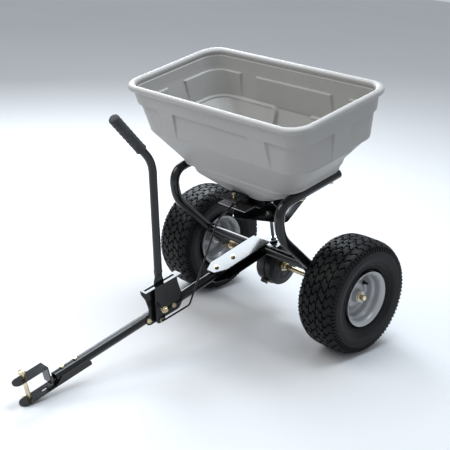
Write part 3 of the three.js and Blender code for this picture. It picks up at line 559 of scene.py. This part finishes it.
def make_hitch():
    head = HITCH_STRAP_Z + 4.0 + HITCH_PIN_RISE
    foot = HITCH_FLOOR_Z - 7
    outline = [
        (0, foot), (4.2, foot), (6.5, foot + 2.4), (6.5, head), (10.2, head), (11, head + 0.8),
        (11, head + 5.2), (9.6, head + 7.6), (6.0, head + 9.2), (0, head + 9.8),
    ]
    at = axis_matrix((0, HITCH_PIN_Y, 0), (0, 0, 1))
    piece("drawbar_pin", Shape().lathe(outline, 40, False, at), "hitch_pin", matrix=TONGUE)

    z = HITCH_FLOOR_Z - 3.6
    outside = 6.5 + 1.4 + 0.4
    y = HITCH_PIN_Y
    leg = [(16, y, z), (-22, y, z)]
    loop = [Vector((-28 - 6.2 * math.sin(t), y - 4.1 + 6.2 * math.cos(t), z)) for t in
            [math.pi * k / 14 for k in range(1, 14)]]
    wave = ((-22, 0), (-12, 1.5), (0, 0), (12, 2.5))
    back = [(x, y - outside - dip, z) for x, dip in wave]
    piece("hairpin", Shape().sweep(leg + loop + back, 1.4, 12), "hitch_clip", angle=60, matrix=TONGUE)


# ---------------------------------------------------------------- wheels

TREAD = 7.0


def crown_radius(x):
    """Radius of the tread surface across the tyre."""
    x = abs(x)
    if x < 40:
        return TYRE_R - 0.9 * (x / 40) ** 2
    return TYRE_R - 0.9 - 11.0 * ((x - 40) / 27) ** 1.7


def tyre_outline():
    """Closed outline of (radius, x): tread floor, shoulders, sidewalls, beads and the inside."""
    half = []
    for k in range(13):
        x = 67 * k / 12
        half.append((crown_radius(x) - TREAD, x))
    half += [
        (171, 70.5), (166, 72.6), (161, 73.8), (159.5, 75), (157.8, 75), (157, 74.3), (150, 74.6),
        (147.6, 74.5), (147, 75), (146, 75), (145.4, 74.3), (141, 74.2),
        (132, 72.8), (128, 71.8), (127.4, 72.6), (126.2, 72.4), (125.6, 71.1), (121, 69.6), (120.4, 70.4),
        (119.2, 70.0), (118.6, 68.4), (117, 67.8), (113.5, 65.9), (112.6, 67.0), (110.8, 66.9), (109.6, 64.6),
        (104, 61.2), (98, 56), (94.5, 50), (93.3, 46), (84.6, 45.8), (84.2, 40),
    ]
    inner = [(106, 52), (152, 62), (170, 50)]
    side = half + inner
    return side + [(radius, -x) for radius, x in reversed(side[1:])]


def tread_block(shape, rows, angle, length, low, high, skew, seed):
    """One raised block: it follows the crown across X and the circle along its length."""
    rng = random.Random(seed)
    cross = 8
    lengthwise = 3
    top, bottom = [], []
    for j in range(lengthwise + 1):
        v = j / lengthwise
        for i in range(cross + 1):
            u = i / cross
            x = low + (high - low) * u
            bend = skew * math.sin(2 * math.pi * u)
            t = angle + length * (v - 0.5) + bend
            edge = 0.45 if i in (0, cross) or j in (0, lengthwise) else 0.0
            radius = crown_radius(x) - edge - rng.uniform(0, 0.12)
            top.append((x, radius * math.cos(t), radius * math.sin(t)))
            under = crown_radius(x) - TREAD - 1.0
            grow = 1.06
            xs = (low + high) / 2 + (x - (low + high) / 2) * grow
            ts = angle + length * grow * (v - 0.5) + bend
            bottom.append((xs, under * math.cos(ts), under * math.sin(ts)))
    n = cross + 1
    m = lengthwise + 1
    faces = []
    for j in range(lengthwise):
        for i in range(cross):
            a = j * n + i
            faces.append((a, a + 1, a + n + 1, a + n))
            b = a + n * m
            faces.append((b, b + n, b + n + 1, b + 1))
    border = ([i for i in range(n)] + [j * n + cross for j in range(1, m)]
              + [lengthwise * n + i for i in range(cross - 1, -1, -1)] + [j * n for j in range(m - 2, 0, -1)])
    for a, b in zip(border, border[1:] + border[:1]):
        faces.append((a, a + n * m, b + n * m, b))
    shape.add(top + bottom, faces, rows)


LUG_COUNT = 84
LUG_OUTLINE = ((176.5, 68.0), (176.0, 71.3), (168.0, 74.4), (162.5, 75.2))  # (radius, x), tread to sidewall
LUG_HALF_ANGLE = 0.012
LUG_ROOT = 3  # how far its root is set into the sidewall


def shoulder_lug(shape, matrix, angle, sign):
    """A small rib on the tyre's shoulder: four sections, each with an outer and a root pair of points."""
    verts = []
    for radius, x in LUG_OUTLINE:
        for w in (-LUG_HALF_ANGLE, LUG_HALF_ANGLE):
            verts.append((sign * x, radius * math.cos(angle + w), radius * math.sin(angle + w)))
    for radius, x in LUG_OUTLINE:
        root = radius - LUG_ROOT
        for w in (-LUG_HALF_ANGLE * 1.3, LUG_HALF_ANGLE * 1.3):
            verts.append((sign * (x - LUG_ROOT), root * math.cos(angle + w), root * math.sin(angle + w)))
    faces = []
    for section in range(len(LUG_OUTLINE) - 1):
        a = 2 * section
        faces += [(a, a + 1, a + 3, a + 2), (a + 8, a + 10, a + 11, a + 9),
                  (a, a + 2, a + 10, a + 8), (a + 1, a + 9, a + 11, a + 3)]
    faces += [(0, 8, 9, 1), (6, 7, 15, 14)]
    shape.add(verts, faces, matrix)


def make_tyre(side, matrix):
    shape = Shape().lathe(tyre_outline(), 160, True, matrix)
    pitches = 36
    step = 2 * math.pi / pitches
    columns = [(-67.0, -43.0), (-39.5, -15.5), (-12.0, 12.0), (15.5, 39.5), (43.0, 67.0)]
    for p in range(pitches):
        for c, (low, high) in enumerate(columns):
            centre = (low + high) / 2
            lean = -abs(centre) / 67 * step * 0.1
            stagger = 0.5 * step if c % 2 else 0.0
            skew = 0.22 * step * (1 if c % 2 else -1)
            angle = p * step + lean + stagger
            tread_block(shape, matrix, angle, step * 0.74, low, high, -skew, p * 11 + c)
    for k in range(LUG_COUNT):
        for sign in (-1, 1):
            shoulder_lug(shape, matrix, 2 * math.pi * k / LUG_COUNT, sign)
    piece(f"turf_tyre_{side}", shape, f"tyre_{side}", angle=32)


def make_rim(side, matrix):
    outer = [
        (19, 38), (20.2, 37.4), (20.6, 36), (20.6, 20.5), (22.5, 18.2), (27, 17.4), (36, 17.0), (41, 16.0),
        (46, 12.0), (51, 7.2), (56, 5.2), (61, 5.6), (65, 8.2), (67.5, 12.5), (68.6, 18), (69.2, 24.5),
        (71.0, 28.5), (75.0, 31.6), (77.4, 34.5), (78.0, 40), (78.3, 51), (79.6, 55.5), (84.0, 60.0),
        (88.0, 62.6), (90.2, 64.6), (92.0, 65.2), (92.8, 64.0), (92.0, 61.8),
        (88, 59.4), (83.4, 54.5), (81.2, 51), (81.0, 36), (72.2, 27),
    ]
    inner = [(r, -x) for r, x in reversed(outer[15:])]
    back = [(66.5, -12), (66.0, 2.0), (61, 1.6), (56, 1.2), (50, 3.6), (44, 9.0), (39, 12.4), (24, 13.4),
            (20.6, 12.5), (20.6, -36), (19, -38), (9.4, -38), (9.4, 38)]
    shape = Shape().lathe(outer + inner + back, 96, True, matrix)
    piece(f"dished_rim_{side}", shape, f"wheel_rim_{side}", angle=45)


def make_hub(side, matrix):
    """Washer, split pin and the valve on the outer side of a wheel."""
    washer = [(9.4, 38.4), (15.6, 38.4), (16, 38.8), (16, 40.6), (15.4, 41), (9.4, 41)]
    piece(f"hub_washer_{side}", Shape().lathe(washer, 40, True, matrix), f"wheel_washer_{side}")
    angle = math.radians(62)
    y, z = 57 * math.sin(angle), 57 * math.cos(angle)
    valve = [(0, 24.0), (3.2, 24.0), (3.8, 23.2), (4.0, 14), (6.2, 11.5), (7.0, 9.6), (7.0, 7.0), (3.6, 6.0),
             (3.6, -7), (0, -7.6)]
    at = matrix @ Matrix.Translation((0, y, z))
    piece(f"valve_{side}", Shape().lathe(valve[::-1], 24, False, at), f"valve_stem_{side}")
    x = 46.0
    pin = [(x, 0, 17), (x, 0, -12), (x, 2.6, -17), (x, 6.2, -20)]
    other = [(x, 0.4, 15), (x, -0.4, -12), (x, -3.4, -16), (x, -6.6, -18)]
    ring = [Vector((x, 2.6 * math.sin(t), 17.6 + 2.6 * math.cos(t))) for t in turn(16)]
    shape = Shape()
    for line in (pin, other):
        rings = tube_rings([matrix @ Vector(p) for p in line], 0.95, 10)
        shape.loft(rings)
    eye = tube_rings([matrix @ p for p in ring] + [matrix @ ring[0]], 0.95, 10)
    shape.loft(eye)
    piece(f"split_pin_{side}", shape, f"cotter_pin_{side}", angle=60)


def make_wheels():
    for side, sign in (("left", -1), ("right", 1)):
        half_turn = Matrix.Rotation(math.pi if sign < 0 else 0.0, 4, "Z")
        matrix = Matrix.Translation((sign * WHEEL_X, 0, AXLE_Z)) @ Matrix.Rotation(-PITCH, 4, "X") @ half_turn
        make_tyre(side, matrix)
        make_rim(side, matrix)
        make_hub(side, matrix)
    at = Matrix.Translation((0, 0, AXLE_Z))
    rod = [(0, -394), (7.4, -394), (8.6, -393), (9, -391.6), (9, 391.6), (8.6, 393), (7.4, 394), (0, 394)]
    piece("axle_rod", Shape().lathe(rod, 40, False, at), "axle")
    collar = [(9.4, 37), (16.4, 37), (17, 37.6), (17, 40.6), (16.4, 41), (13.4, 41.6), (13, 42.4), (13, 50),
              (12.2, 51), (9.4, 51)]
    piece("drive_collar", Shape().lathe(collar, 40, True, at), "axle_collar")


# ---------------------------------------------------------------- gearbox


def drum_ring(x, radius, count=96):
    """A round section of the gear case, about the axle."""
    ring = []
    for t in turn(count):
        y, z = radius * math.cos(t), radius * math.sin(t)
        ring.append((x, y, z + AXLE_Z))
    return ring


def make_gearbox():
    r = GEARBOX_R
    sections = {
        "left": [
            (-28, r - 4), (-27, r - 1.6), (-25, r - 0.6), (-2.5, r),
            (-2.2, r + 2.4), (3.6, r + 2.4), (3.7, r - 4),
        ],
        "right": [
            (36, r - 5), (35, r - 2.2), (32.5, r - 1), (11, r - 0.6),
            (10.5, r + 2.4), (4.4, r + 2.4), (4.3, r - 4),
        ],
    }
    for side, section in sections.items():
        shape = Shape().loft([drum_ring(x, radius) for x, radius in section])
        sign = -1 if side == "left" else 1
        face = -28.0 if side == "left" else 36.0
        for inner, outer, rise in ((14, 20, 2.6), (44, 47, 1.2)):
            if side == "right" and inner == 14:
                continue
            outline = [(inner, face), (inner, face + sign * rise), (outer, face + sign * rise), (outer, face)]
            shape.lathe(outline, 72, True, Matrix.Translation((0, 0, AXLE_Z)))
        for spoke in range(8):
            t = 2 * math.pi * (spoke + 0.5) / 8
            spoke_at = Matrix.Translation((0, 0, AXLE_Z)) @ Matrix.Rotation(t, 4, "X")
            x0, x1 = sorted((face - sign * 0.5, face + sign * 1.2))
            shape.block((x0, -1.4, 22), (x1, 1.4, 45), spoke_at)
        for angle in (-150, -30):
            t = math.radians(angle)
            y, z = (r + 6) * math.cos(t), AXLE_Z + (r + 6) * math.sin(t)
            x0, x1 = (-8, 3.7) if side == "left" else (4.3, 16)
            lug = [(2.9, x0), (7.4, x0), (8, x0 + 0.8), (8, x1), (2.9, x1)]
            shape.lathe(lug, 32, True, Matrix.Translation((0, y, z)))
        half_neck = [(12, 244), (12, 278.2), (11.2, 279), (7.2, 279), (7.2, 244)]
        if side == "left":
            shape.lathe(half_neck, 40, True, axis_matrix((0, 0, 0), (0, 0, 1)))
        piece(f"gear_case_{side}", shape, f"gearbox_{side}", angle=30)
    for end, angle in (("front", -150), ("rear", -30)):
        t = math.radians(angle)
        y, z = (r + 6) * math.cos(t), AXLE_Z + (r + 6) * math.sin(t)
        screw = Shape()
        at = Matrix.Translation((0, y, z))
        screw.lathe([(0, -8.2), (2.4, -8.2), (2.4, 16.2), (4.6, 16.2), (4.8, 17), (4.2, 18.8), (2.6, 19.8),
                     (0, 20)],
                    28, False, at)
        piece(f"case_screw_{end}", screw, f"gearbox_screw_{end}")


# ---------------------------------------------------------------- impeller


def make_impeller():
    top = IMPELLER_Z + 2.5
    corner, rounding = 133.0, 20.0
    shape = Shape()
    ring = []
    half = (corner + rounding * (math.sqrt(2) - 1)) / math.sqrt(2)
    for quarter in range(4):
        base = IMPELLER_TURN + quarter * math.pi / 2
        cx, cy = (half - rounding), (half - rounding)
        for k in range(9):
            t = math.pi / 2 * k / 8
            x, y = cx + rounding * math.cos(t), cy + rounding * math.sin(t)
            turned = Vector((x, y)).to_3d()
            turned.rotate(Matrix.Rotation(base - math.pi / 4, 3, "Z"))
            ring.append(turned)
        for k in range(1, 10):
            t = k / 10
            a = Vector((cx, half, 0)) * (1 - t) + Vector((-cx, half, 0)) * t
            a.rotate(Matrix.Rotation(base - math.pi / 4, 3, "Z"))
            ring.append(a)

    def at(scale, z):
        return [(p.x * scale, p.y * scale, z) for p in ring]

    shape.loft([at(0.10, IMPELLER_Z), at(0.6, IMPELLER_Z), at(0.985, IMPELLER_Z), at(1.0, IMPELLER_Z + 0.6),
                at(1.0, top - 0.6), at(0.985, top), at(0.6, top), at(0.10, top)], loop=True)
    hub = [(6.3, -18), (12.8, -18), (14, -16.8), (14, 14.6), (12.6, 16), (6.3, 16)]
    shape.lathe(hub, 40, True, axis_matrix((0, 0, IMPELLER_Z), (0, 0, 1)))
    for quarter in range(4):
        angle = IMPELLER_TURN + quarter * math.pi / 2
        turned = Matrix.Translation((0, 0, IMPELLER_Z)) @ Matrix.Rotation(angle, 4, "Z")
        outline = [(13, 1.5), (129, 1.5), (129.5, 14)]
        outline += [(117.5 + 12 * math.cos(t), 16 + 12 * math.sin(t)) for t in
                    [math.pi / 2 * k / 8 for k in range(9)]]
        outline += [(30, 28), (22, 25), (13, 22)]
        rings = [[(x, y, z) for x, z in outline] for y in (-1.25, 1.25)]
        shape.loft(rings, matrix=turned)
        foot = [(x, z) for x, z in ((20, 2.5), (122, 2.5), (122, 4.2), (20, 4.2))]
        shape.loft([[(x, y, z) for x, z in foot] for y in (0.8, 11)], matrix=turned)
    piece("spinner_plate", shape, "impeller", bevel=0.35)
    shaft = [(0, 234.5), (5.2, 234.5), (6, 235.4), (6, 535.0), (5, 536), (0, 536)]
    upright = axis_matrix((0, 0, 0), (0, 0, 1))
    piece("upright_shaft", Shape().lathe(shaft, 32, False, upright), "impeller_shaft")
    arm = [(0, -36), (2.0, -36), (2.5, -35.4), (2.5, 35.4), (2.0, 36), (0, 36)]
    arm_at = Matrix.Translation((0, 0, HOPPER_FLOOR_Z + 24))
    piece("agitator", Shape().lathe(arm, 20, False, arm_at), "agitator_pin")
    collar = [(6.3, 280), (13.4, 280), (14, 280.6), (14, 282.6), (13.4, 283.2), (10.6, 283.4), (10.6, 292.2),
              (9.8, 293), (6.3, 293)]
    piece("neck_collar", Shape().lathe(collar, 36, True, upright), "shaft_collar")


# ---------------------------------------------------------------- hopper

LONG_STEPS = 190
SHORT_STEPS = 92
CORNER_STEPS = 18
PANEL_TOP = 787.0
PANEL_LOW = 700.0
POCKET_TOP = 701.0
WALL_LEVELS = (
    693.0, 694.5, 696.0, 697.5, 699.0, 700.2, 701.4, 703.0,
    706.0, 714.0, 724.0, 734.0, 744.0, 754.0, 764.0, 774.0,
    781.0, 784.5, 786.2, 787.4, 788.4, 790.0, 796.0,
)


def between(low, high, z):
    """The ring at height z on the straight wall from one ring to another."""
    t = (z - low[3]) / (high[3] - low[3])
    return tuple(a + (b - a) * t for a, b in zip(low, high))


def hopper_profile():
    """Rings of the moulding as (half length, half width, corner, z, y), inside first, then outside."""

    def rim(inset, drop):
        return (400 - inset, 216 - inset, 69 - inset * 0.5, HOPPER_TOP_Z - drop, HOPPER_Y)

    taper = [
        (60, 60, 58, 504, -12), (115, 97, 58, 504, -12), (219, 126, 68, 554, -18), (222, 132, 68, 583.6, -20),
        (257, 136, 72, 584, -20), (258, 137, 72, 591, -20), (359, 180, 76, 693, -22),
    ]
    inner_top = (376, 192, 57, 796, HOPPER_Y)
    inner_wall = [between(taper[-1], inner_top, z) for z in WALL_LEVELS]
    inner_rim = [rim(23.6, 60), rim(23.2, 28), rim(23.0, 25.4), rim(20.6, 23.4), rim(20.2, 22)]
    bead = []
    for k in range(19):
        t = math.radians(205 - k * 280 / 18)
        bead.append(rim(11.5 - 11.5 * math.cos(t), 11.5 - 11.5 * math.sin(t)))
    outer_taper = [
        (363, 184, 78, 693, -22), (262, 141, 74, 590, -20), (262, 140, 74, 580, -20),
        (226, 137, 70, 579.4, -20),
        (223, 130, 70, 552, -18), (118, 100, 60, 500, -12), (60, 60, 58, 500, -12),
    ]
    outer_wall = [between(outer_taper[0], rim(20, 63), z) for z in WALL_LEVELS[::-1]]
    rings = soften(taper, {1: 8, 2: 5, 3: 2, 4: 2, 5: 2})
    rings += inner_wall[1:] + inner_rim + bead + [rim(14.5, 24)] + outer_wall[:-1]
    rings += soften(outer_taper, {1: 1.5, 2: 1, 3: 1.5, 4: 4, 5: 8})
    return rings


def soften(keys, fillets, spacing=7.0):
    """The key rings joined with rounded corners and even steps between them."""
    def blend(a, b, t):
        return tuple(p + (q - p) * t for p, q in zip(a, b))

    def distance(a, b):
        return math.hypot(a[0] - b[0], a[3] - b[3])

    line = [keys[0]]
    for i in range(1, len(keys) - 1):
        before, here, after = keys[i - 1], keys[i], keys[i + 1]
        reach = fillets.get(i, 2)
        a = blend(here, before, min(0.45, reach / max(distance(here, before), 1e-6)))
        b = blend(here, after, min(0.45, reach / max(distance(here, after), 1e-6)))
        for k in range(5):
            t = k / 4
            line.append(blend(blend(a, here, t), blend(here, b, t), t))
    line.append(keys[-1])
    out = [line[0]]
    for a, b in zip(line, line[1:]):
        steps = max(1, round(distance(a, b) / spacing))
        out += [blend(a, b, (k + 1) / steps) for k in range(steps)]
    return out


def panel_depth(x, y, z):
    """How far the wall is set in: corner panels and middle panels, deepest under their top ledge."""
    across = abs(x)
    along = abs(y - HOPPER_Y)
    if z > PANEL_TOP + 1.4 or z < PANEL_LOW - 6:
        return 0.0
    ledge = smooth((PANEL_TOP + 1.2 - z) / 2.6)
    fall = max(z - PANEL_LOW, 0.0) / (PANEL_TOP - PANEL_LOW)
    fade = smooth((z - PANEL_LOW + 6) / 6.0)
    flare = 0.12 * max(PANEL_TOP - z, 0)
    edge = 2.6
    middle = smooth((168 + flare - across) / edge + 0.5)
    corner_x = smooth((across - 243 - 0.3 * flare) / edge + 0.5)
    corner_y = smooth((along - 39 - 0.3 * flare) / edge + 0.5)
    share = corner_y if across > 330 else max(middle, corner_x)
    return (1.5 + 6.5 * fall) * ledge * fade * share


def pocket_depth(x, y, z):
    """The two rear corners of the tapered part are set in below a ledge."""
    if y < HOPPER_Y:
        return 0.0
    reach = 25.0
    rise = max(z - (POCKET_TOP - reach), 0.0)
    rounding = reach - math.sqrt(max(reach * reach - rise * rise, 0.0))
    top = smooth((POCKET_TOP - z) / 2.4)
    bottom = smooth((z - 596.0) / 34.0)
    side = smooth((abs(x) - 68 - rounding) / 5.0)
    front = smooth((y - 18 - rounding) / 5.0)
    return 14.0 * top * bottom * side * front


def wall_depth(x, y, z):
    return panel_depth(x, y, z) + pocket_depth(x, y, z)


def hopper_ring(half_length, half_width, corner, z, yc, set_in):
    """A rounded rectangle with the same count of points at every level."""
    points = []
    straight_x, straight_y = half_length - corner, half_width - corner
    quarters = [
        ((straight_x, straight_y), 0, LONG_STEPS),
        ((-straight_x, straight_y), 1, SHORT_STEPS),
        ((-straight_x, -straight_y), 2, LONG_STEPS),
        ((straight_x, -straight_y), 3, SHORT_STEPS),
    ]
    for q, ((cx, cy), start, steps) in enumerate(quarters):
        for k in range(CORNER_STEPS + 1):
            t = math.pi / 2 * (start + k / CORNER_STEPS)
            points.append((cx + corner * math.cos(t), cy + corner * math.sin(t), math.cos(t), math.sin(t)))
        nx, ny = math.cos(math.pi / 2 * (start + 1)), math.sin(math.pi / 2 * (start + 1))
        ncx, ncy = quarters[(q + 1) % 4][0]
        sx, sy = cx + corner * nx, cy + corner * ny
        ex, ey = ncx + corner * nx, ncy + corner * ny
        for k in range(1, steps):
            t = k / steps
            points.append((sx + (ex - sx) * t, sy + (ey - sy) * t, nx, ny))
    ring = []
    for x, y, nx, ny in points:
        depth = set_in(x, y + yc, z)
        ring.append((x - nx * depth, y + yc - ny * depth, z))
    return ring


def outlet_holes(shape):
    """Dark outlets are part of the moulding: square sleeves through its floor."""
    for sign in (-1, 1):
        x = sign * 42
        rim = [(x - 17, -24), (x + 17, -24), (x + 17, 24), (x - 17, 24)]
        wide = [(x - 19, -26), (x + 19, -26), (x + 19, 26), (x - 19, 26)]
        shape.loft([[(a, b, z) for a, b in r] for r, z in ((rim, 503), (rim, 506), (wide, 506), (wide, 503))],
                   loop=True)


def make_hopper():
    rings = [hopper_ring(*ring, wall_depth) for ring in hopper_profile()]
    shape = Shape().loft(rings, loop=True)
    outlet_holes(shape)
    piece("hopper_shell", shape, "hopper", angle=20)


# ---------------------------------------------------------------- lever and rod


def lever_matrix():
    return Matrix.Translation(LEVER_PIVOT) @ Matrix.Rotation(-LEVER_LEAN, 4, "X")


# Heights above the pivot along the lever.
BLADE_FOOT = -38
BLADE_TOP = 86  # above it the blade narrows
ROUND_FROM = 104  # above the bracket's slot at either limit of the swing
STEM_FROM = 134  # above it the lever is a round tube
NARROWING = 26


def flat_section(z, flat, wide, x, sides=40):
    """A section of the lever: round at flat 0 and wide 0, pressed to a blade of full width at 1 and 1."""
    ring = []
    half_x = LEVER_R + (3.0 - LEVER_R) * flat
    half_y = LEVER_R + (18.0 - LEVER_R) * wide
    power = 2.0 / (2.0 + 6.0 * flat)
    for t in turn(sides):
        c, s = math.cos(t), math.sin(t)
        across = half_x * math.copysign(abs(c) ** power, c)
        ring.append((x + across, half_y * math.copysign(abs(s) ** power, s), z))
    return ring


def make_lever():
    x = BLADE_X + 3.0
    at = lever_matrix()
    rings = []
    for z, width in ((-52, 0.55), (-49, 0.8), (-44, 0.95), (-38, 1.0)):
        rings.append([(px, py * width, z) for px, py, _ in flat_section(z, 1.0, 1.0, x)])
    for k in range(9):
        rings.append(flat_section(BLADE_FOOT + (BLADE_TOP - BLADE_FOOT) * k / 8, 1.0, 1.0, x))
    for k in range(1, 19):
        z = BLADE_TOP + (STEM_FROM - BLADE_TOP) * k / 18
        flat = 1.0 - smooth(max(0.0, z - ROUND_FROM) / (STEM_FROM - ROUND_FROM))
        wide = 1.0 - smooth(min(1.0, (z - BLADE_TOP) / NARROWING))
        rings.append(flat_section(z, flat, wide, x))
    tip = (x, -LEVER_UPPER * math.sin(LEVER_BEND), LEVER_STRAIGHT + LEVER_UPPER * math.cos(LEVER_BEND))
    path = rounded([(x, 0, 136), (x, 0, LEVER_STRAIGHT), tip], [36], 14)
    for i, point in enumerate(path):
        ahead = path[min(i + 1, len(path) - 1)] - path[max(i - 1, 0)]
        lean = math.atan2(-ahead.y, ahead.z)
        turned = Matrix.Translation(point) @ Matrix.Rotation(lean, 4, "X")
        rings.append([turned @ Vector(p) for p in flat_section(0, 0, 0, 0)])
    piece("lever_tube", Shape().loft(rings, matrix=at), "flow_lever", angle=45)

    outline = [(0, 4.2), (9, 4.2), (13, 3.4), (15.4, 1.2), (16.4, -2.5)]
    ribs = 7
    for k in range(ribs):
        z = -12 - k * 17.5
        outline += [(16.6, z + 5), (15.6, z + 1.6), (15.3, z), (15.6, z - 1.6), (16.6, z - 5)]
    outline += [(16.2, -GRIP_LENGTH + 8), (17.3, -GRIP_LENGTH + 5), (17.5, -GRIP_LENGTH + 1.0),
                (16.8, -GRIP_LENGTH + 0.3), (12.9, -GRIP_LENGTH + 0.3), (12.9, -6), (0, -6)]
    rings = [[(radius * math.cos(t), radius * math.sin(t), z) if radius else (0, 0, z) for t in turn(40)]
             for radius, z in [(max(r, 0.01), z) for r, z in outline]]
    grip_at = at @ Matrix.Translation(tip) @ Matrix.Rotation(LEVER_BEND, 4, "X")
    piece("hand_grip", Shape().loft(rings, matrix=grip_at), "lever_grip", angle=50)

    make_pivot()


def make_pivot():
    """Shoulder bolt through bracket and foot, with a bright spacer, a washer and a nut outside the foot."""
    seat = Matrix.Translation(LEVER_PIVOT)
    bracket_out, foot_in, foot_out = TUBE_R + 3.6, BLADE_X - 0.3, BLADE_X + 6.3
    washer = foot_out + 17.3
    spacer = [(5.3, foot_out), (7.5, foot_out), (8, foot_out + 0.5), (8, foot_out + 16.5),
              (7.5, foot_out + 17), (5.3, foot_out + 17)]
    piece("pivot_spacer", Shape().lathe(spacer, 40, True, seat), "lever_spacer")
    pin = Shape()
    pin.lathe([(0, 10), (7.4, 10), (8, 10.6), (8, 16), (5, 16), (5, bracket_out), (8, bracket_out),
               (8, foot_in), (5, foot_in), (5, washer + 12.4), (4.2, washer + 13), (0, washer + 13)],
              32, False, seat)
    pin.lathe([(5, washer), (10.6, washer), (11, washer + 0.4), (11, washer + 2.1), (10.6, washer + 2.5),
               (5, washer + 2.5)], 40, True, seat)
    hex_head(pin, 14.5, washer + 2.5, washer + 10, seat)
    piece("pivot_stud", pin, "lever_pivot_bolt", angle=28)


def make_rod():
    pin_y = LEVER_PIVOT.y - ROD_ARM * math.sin(LEVER_LEAN)
    pin_z = LEVER_PIVOT.z - ROD_ARM * math.cos(LEVER_LEAN)
    corners = [
        (21, pin_y, pin_z), (ROD_X, pin_y, pin_z), (ROD_X, -430, pin_z), (ROD_X - 4, -262, ROD_EYE_Z),
        (GATE_PIN.x, GATE_PIN.y - 7.6, ROD_EYE_Z),
    ]
    shape = Shape().sweep(rounded(corners, [5, 10, 14], 8), 3.0, 20)
    eye = 7.4
    ring = [
        Vector((GATE_PIN.x + eye * math.sin(t), GATE_PIN.y - eye * math.cos(t), ROD_EYE_Z))
        for t in turn(36)
    ]
    rings = []
    for i, point in enumerate(ring):
        out = Vector((math.sin(turn(36)[i]), -math.cos(turn(36)[i]), 0))
        up = Vector((0, 0, 1))
        rings.append([point + (out * math.cos(a) * 1.6 + up * math.sin(a) * 2.5) for a in turn(12)])
    shape.loft(rings, loop=True)
    piece("flow_rod", shape, "control_rod", angle=60)
    nut = Shape()
    at = Matrix.Translation((0, pin_y, pin_z))
    hex_head(nut, 11.4, BLADE_X + 6.3, BLADE_X + 9.8, at)
    piece("rod_lock_nut", nut, "rod_nut", angle=28)


# ---------------------------------------------------------------- CAD nodes that stay

KEPT_BEVELS = {
    "tongue_plate_upper": 0.8, "tongue_plate_lower": 0.8, "hitch_bracket": 0.8, "hitch_strap": 0.8,
    "lever_bracket": 0.7, "outlet_plate": 0.5, "gate_bracket": 0.5, "gate": 0.4, "gate_guide_left": 0.5,
    "gate_guide_right": 0.5, "crown_gear": 0.3, "pinion": 0.3,
}


def finish_kept_nodes():
    for node, width in KEPT_BEVELS.items():
        obj = frame["nodes"][node]
        obj.data.materials.clear()
        obj.data.materials.append(MATERIALS[SLOT_OF[node]])
        add_bevel(obj, width)


# ---------------------------------------------------------------- camera, floor and light


def make_camera():
    data = bpy.data.cameras.new("camera")
    data.lens = 81.95
    data.sensor_width = 36.0
    data.shift_x = -0.0038
    data.shift_y = -0.0498
    data.dof.use_dof = False
    data.clip_end = 50.0
    camera = bpy.data.objects.new("camera", data)
    bpy.context.scene.collection.objects.link(camera)
    azimuth, elevation, roll = math.radians(49.7), math.radians(26.7), math.radians(-7.7)
    level = math.cos(elevation)
    back = Vector((math.sin(azimuth) * level, -math.cos(azimuth) * level, math.sin(elevation)))
    right = Vector((math.cos(azimuth), math.sin(azimuth), 0))
    up = back.cross(right)
    rolled_right = right * math.cos(roll) + up * math.sin(roll)
    rolled_up = -right * math.sin(roll) + up * math.cos(roll)
    target = Vector((-76.9, -119.9, 454.9))
    pose = Matrix((rolled_right, rolled_up, back)).transposed().to_4x4()
    pose.translation = target + back * 3405.5
    placed = LEVEL @ pose
    place = placed.translation.copy()
    camera.matrix_world = Matrix.Translation(place) @ placed.to_3x3().normalized().to_4x4()
    bpy.context.scene.camera = camera


def make_floor():
    mesh = bpy.data.meshes.new("floor")
    size = 9.0
    corners = [(-size, -size, 0), (size, -size, 0), (size, size, 0), (-size, size, 0)]
    mesh.from_pydata(corners, [], [(0, 1, 2, 3)])
    floor = bpy.data.objects.new("floor", mesh)
    bpy.context.scene.collection.objects.link(floor)
    s = Shader("floor")
    color = s.ramp(s.noise(0.6, 2.0), 0.3, 0.7, ((0.60, 0.60, 0.605), (0.63, 0.63, 0.635)))
    mesh.materials.append(s.finish(color, s.span(s.noise(2.0), 0.8, 0.9)))


def area_light(name, place, target, size, power, color=(1, 1, 1)):
    data = bpy.data.lights.new(name, "AREA")
    data.shape = "RECTANGLE"
    data.size, data.size_y = size
    data.energy = power
    data.color = color
    lamp = bpy.data.objects.new(name, data)
    lamp.location = place
    lamp.rotation_mode = "QUATERNION"
    lamp.rotation_quaternion = (Vector(place) - Vector(target)).to_track_quat("Z", "Y")
    bpy.context.scene.collection.objects.link(lamp)


def make_light():
    world = bpy.data.worlds.new("studio")
    world.use_nodes = True
    world.node_tree.nodes["Background"].inputs["Color"].default_value = (0.87, 0.93, 1.0, 1)
    world.node_tree.nodes["Background"].inputs["Strength"].default_value = 0.6
    bpy.context.scene.world = world
    bpy.context.scene.view_settings.view_transform = "Standard"
    middle = (0, 0.1, 0.4)
    area_light("key", (-1.6, -1.8, 3.2), middle, (2.4, 2.4), 70, (1.0, 0.98, 0.95))
    area_light("top", (0.3, 0.6, 3.4), middle, (2.0, 2.0), 105, (0.84, 0.92, 1.0))
    area_light("back", (-2.4, 1.3, 2.3), middle, (1.9, 1.2), 80, (0.86, 0.93, 1.0))


make_camera()
make_bolts()
make_frame()
make_hitch()
make_wheels()
make_gearbox()
make_impeller()
make_hopper()
make_lever()
make_rod()
finish_kept_nodes()
make_floor()
make_light()
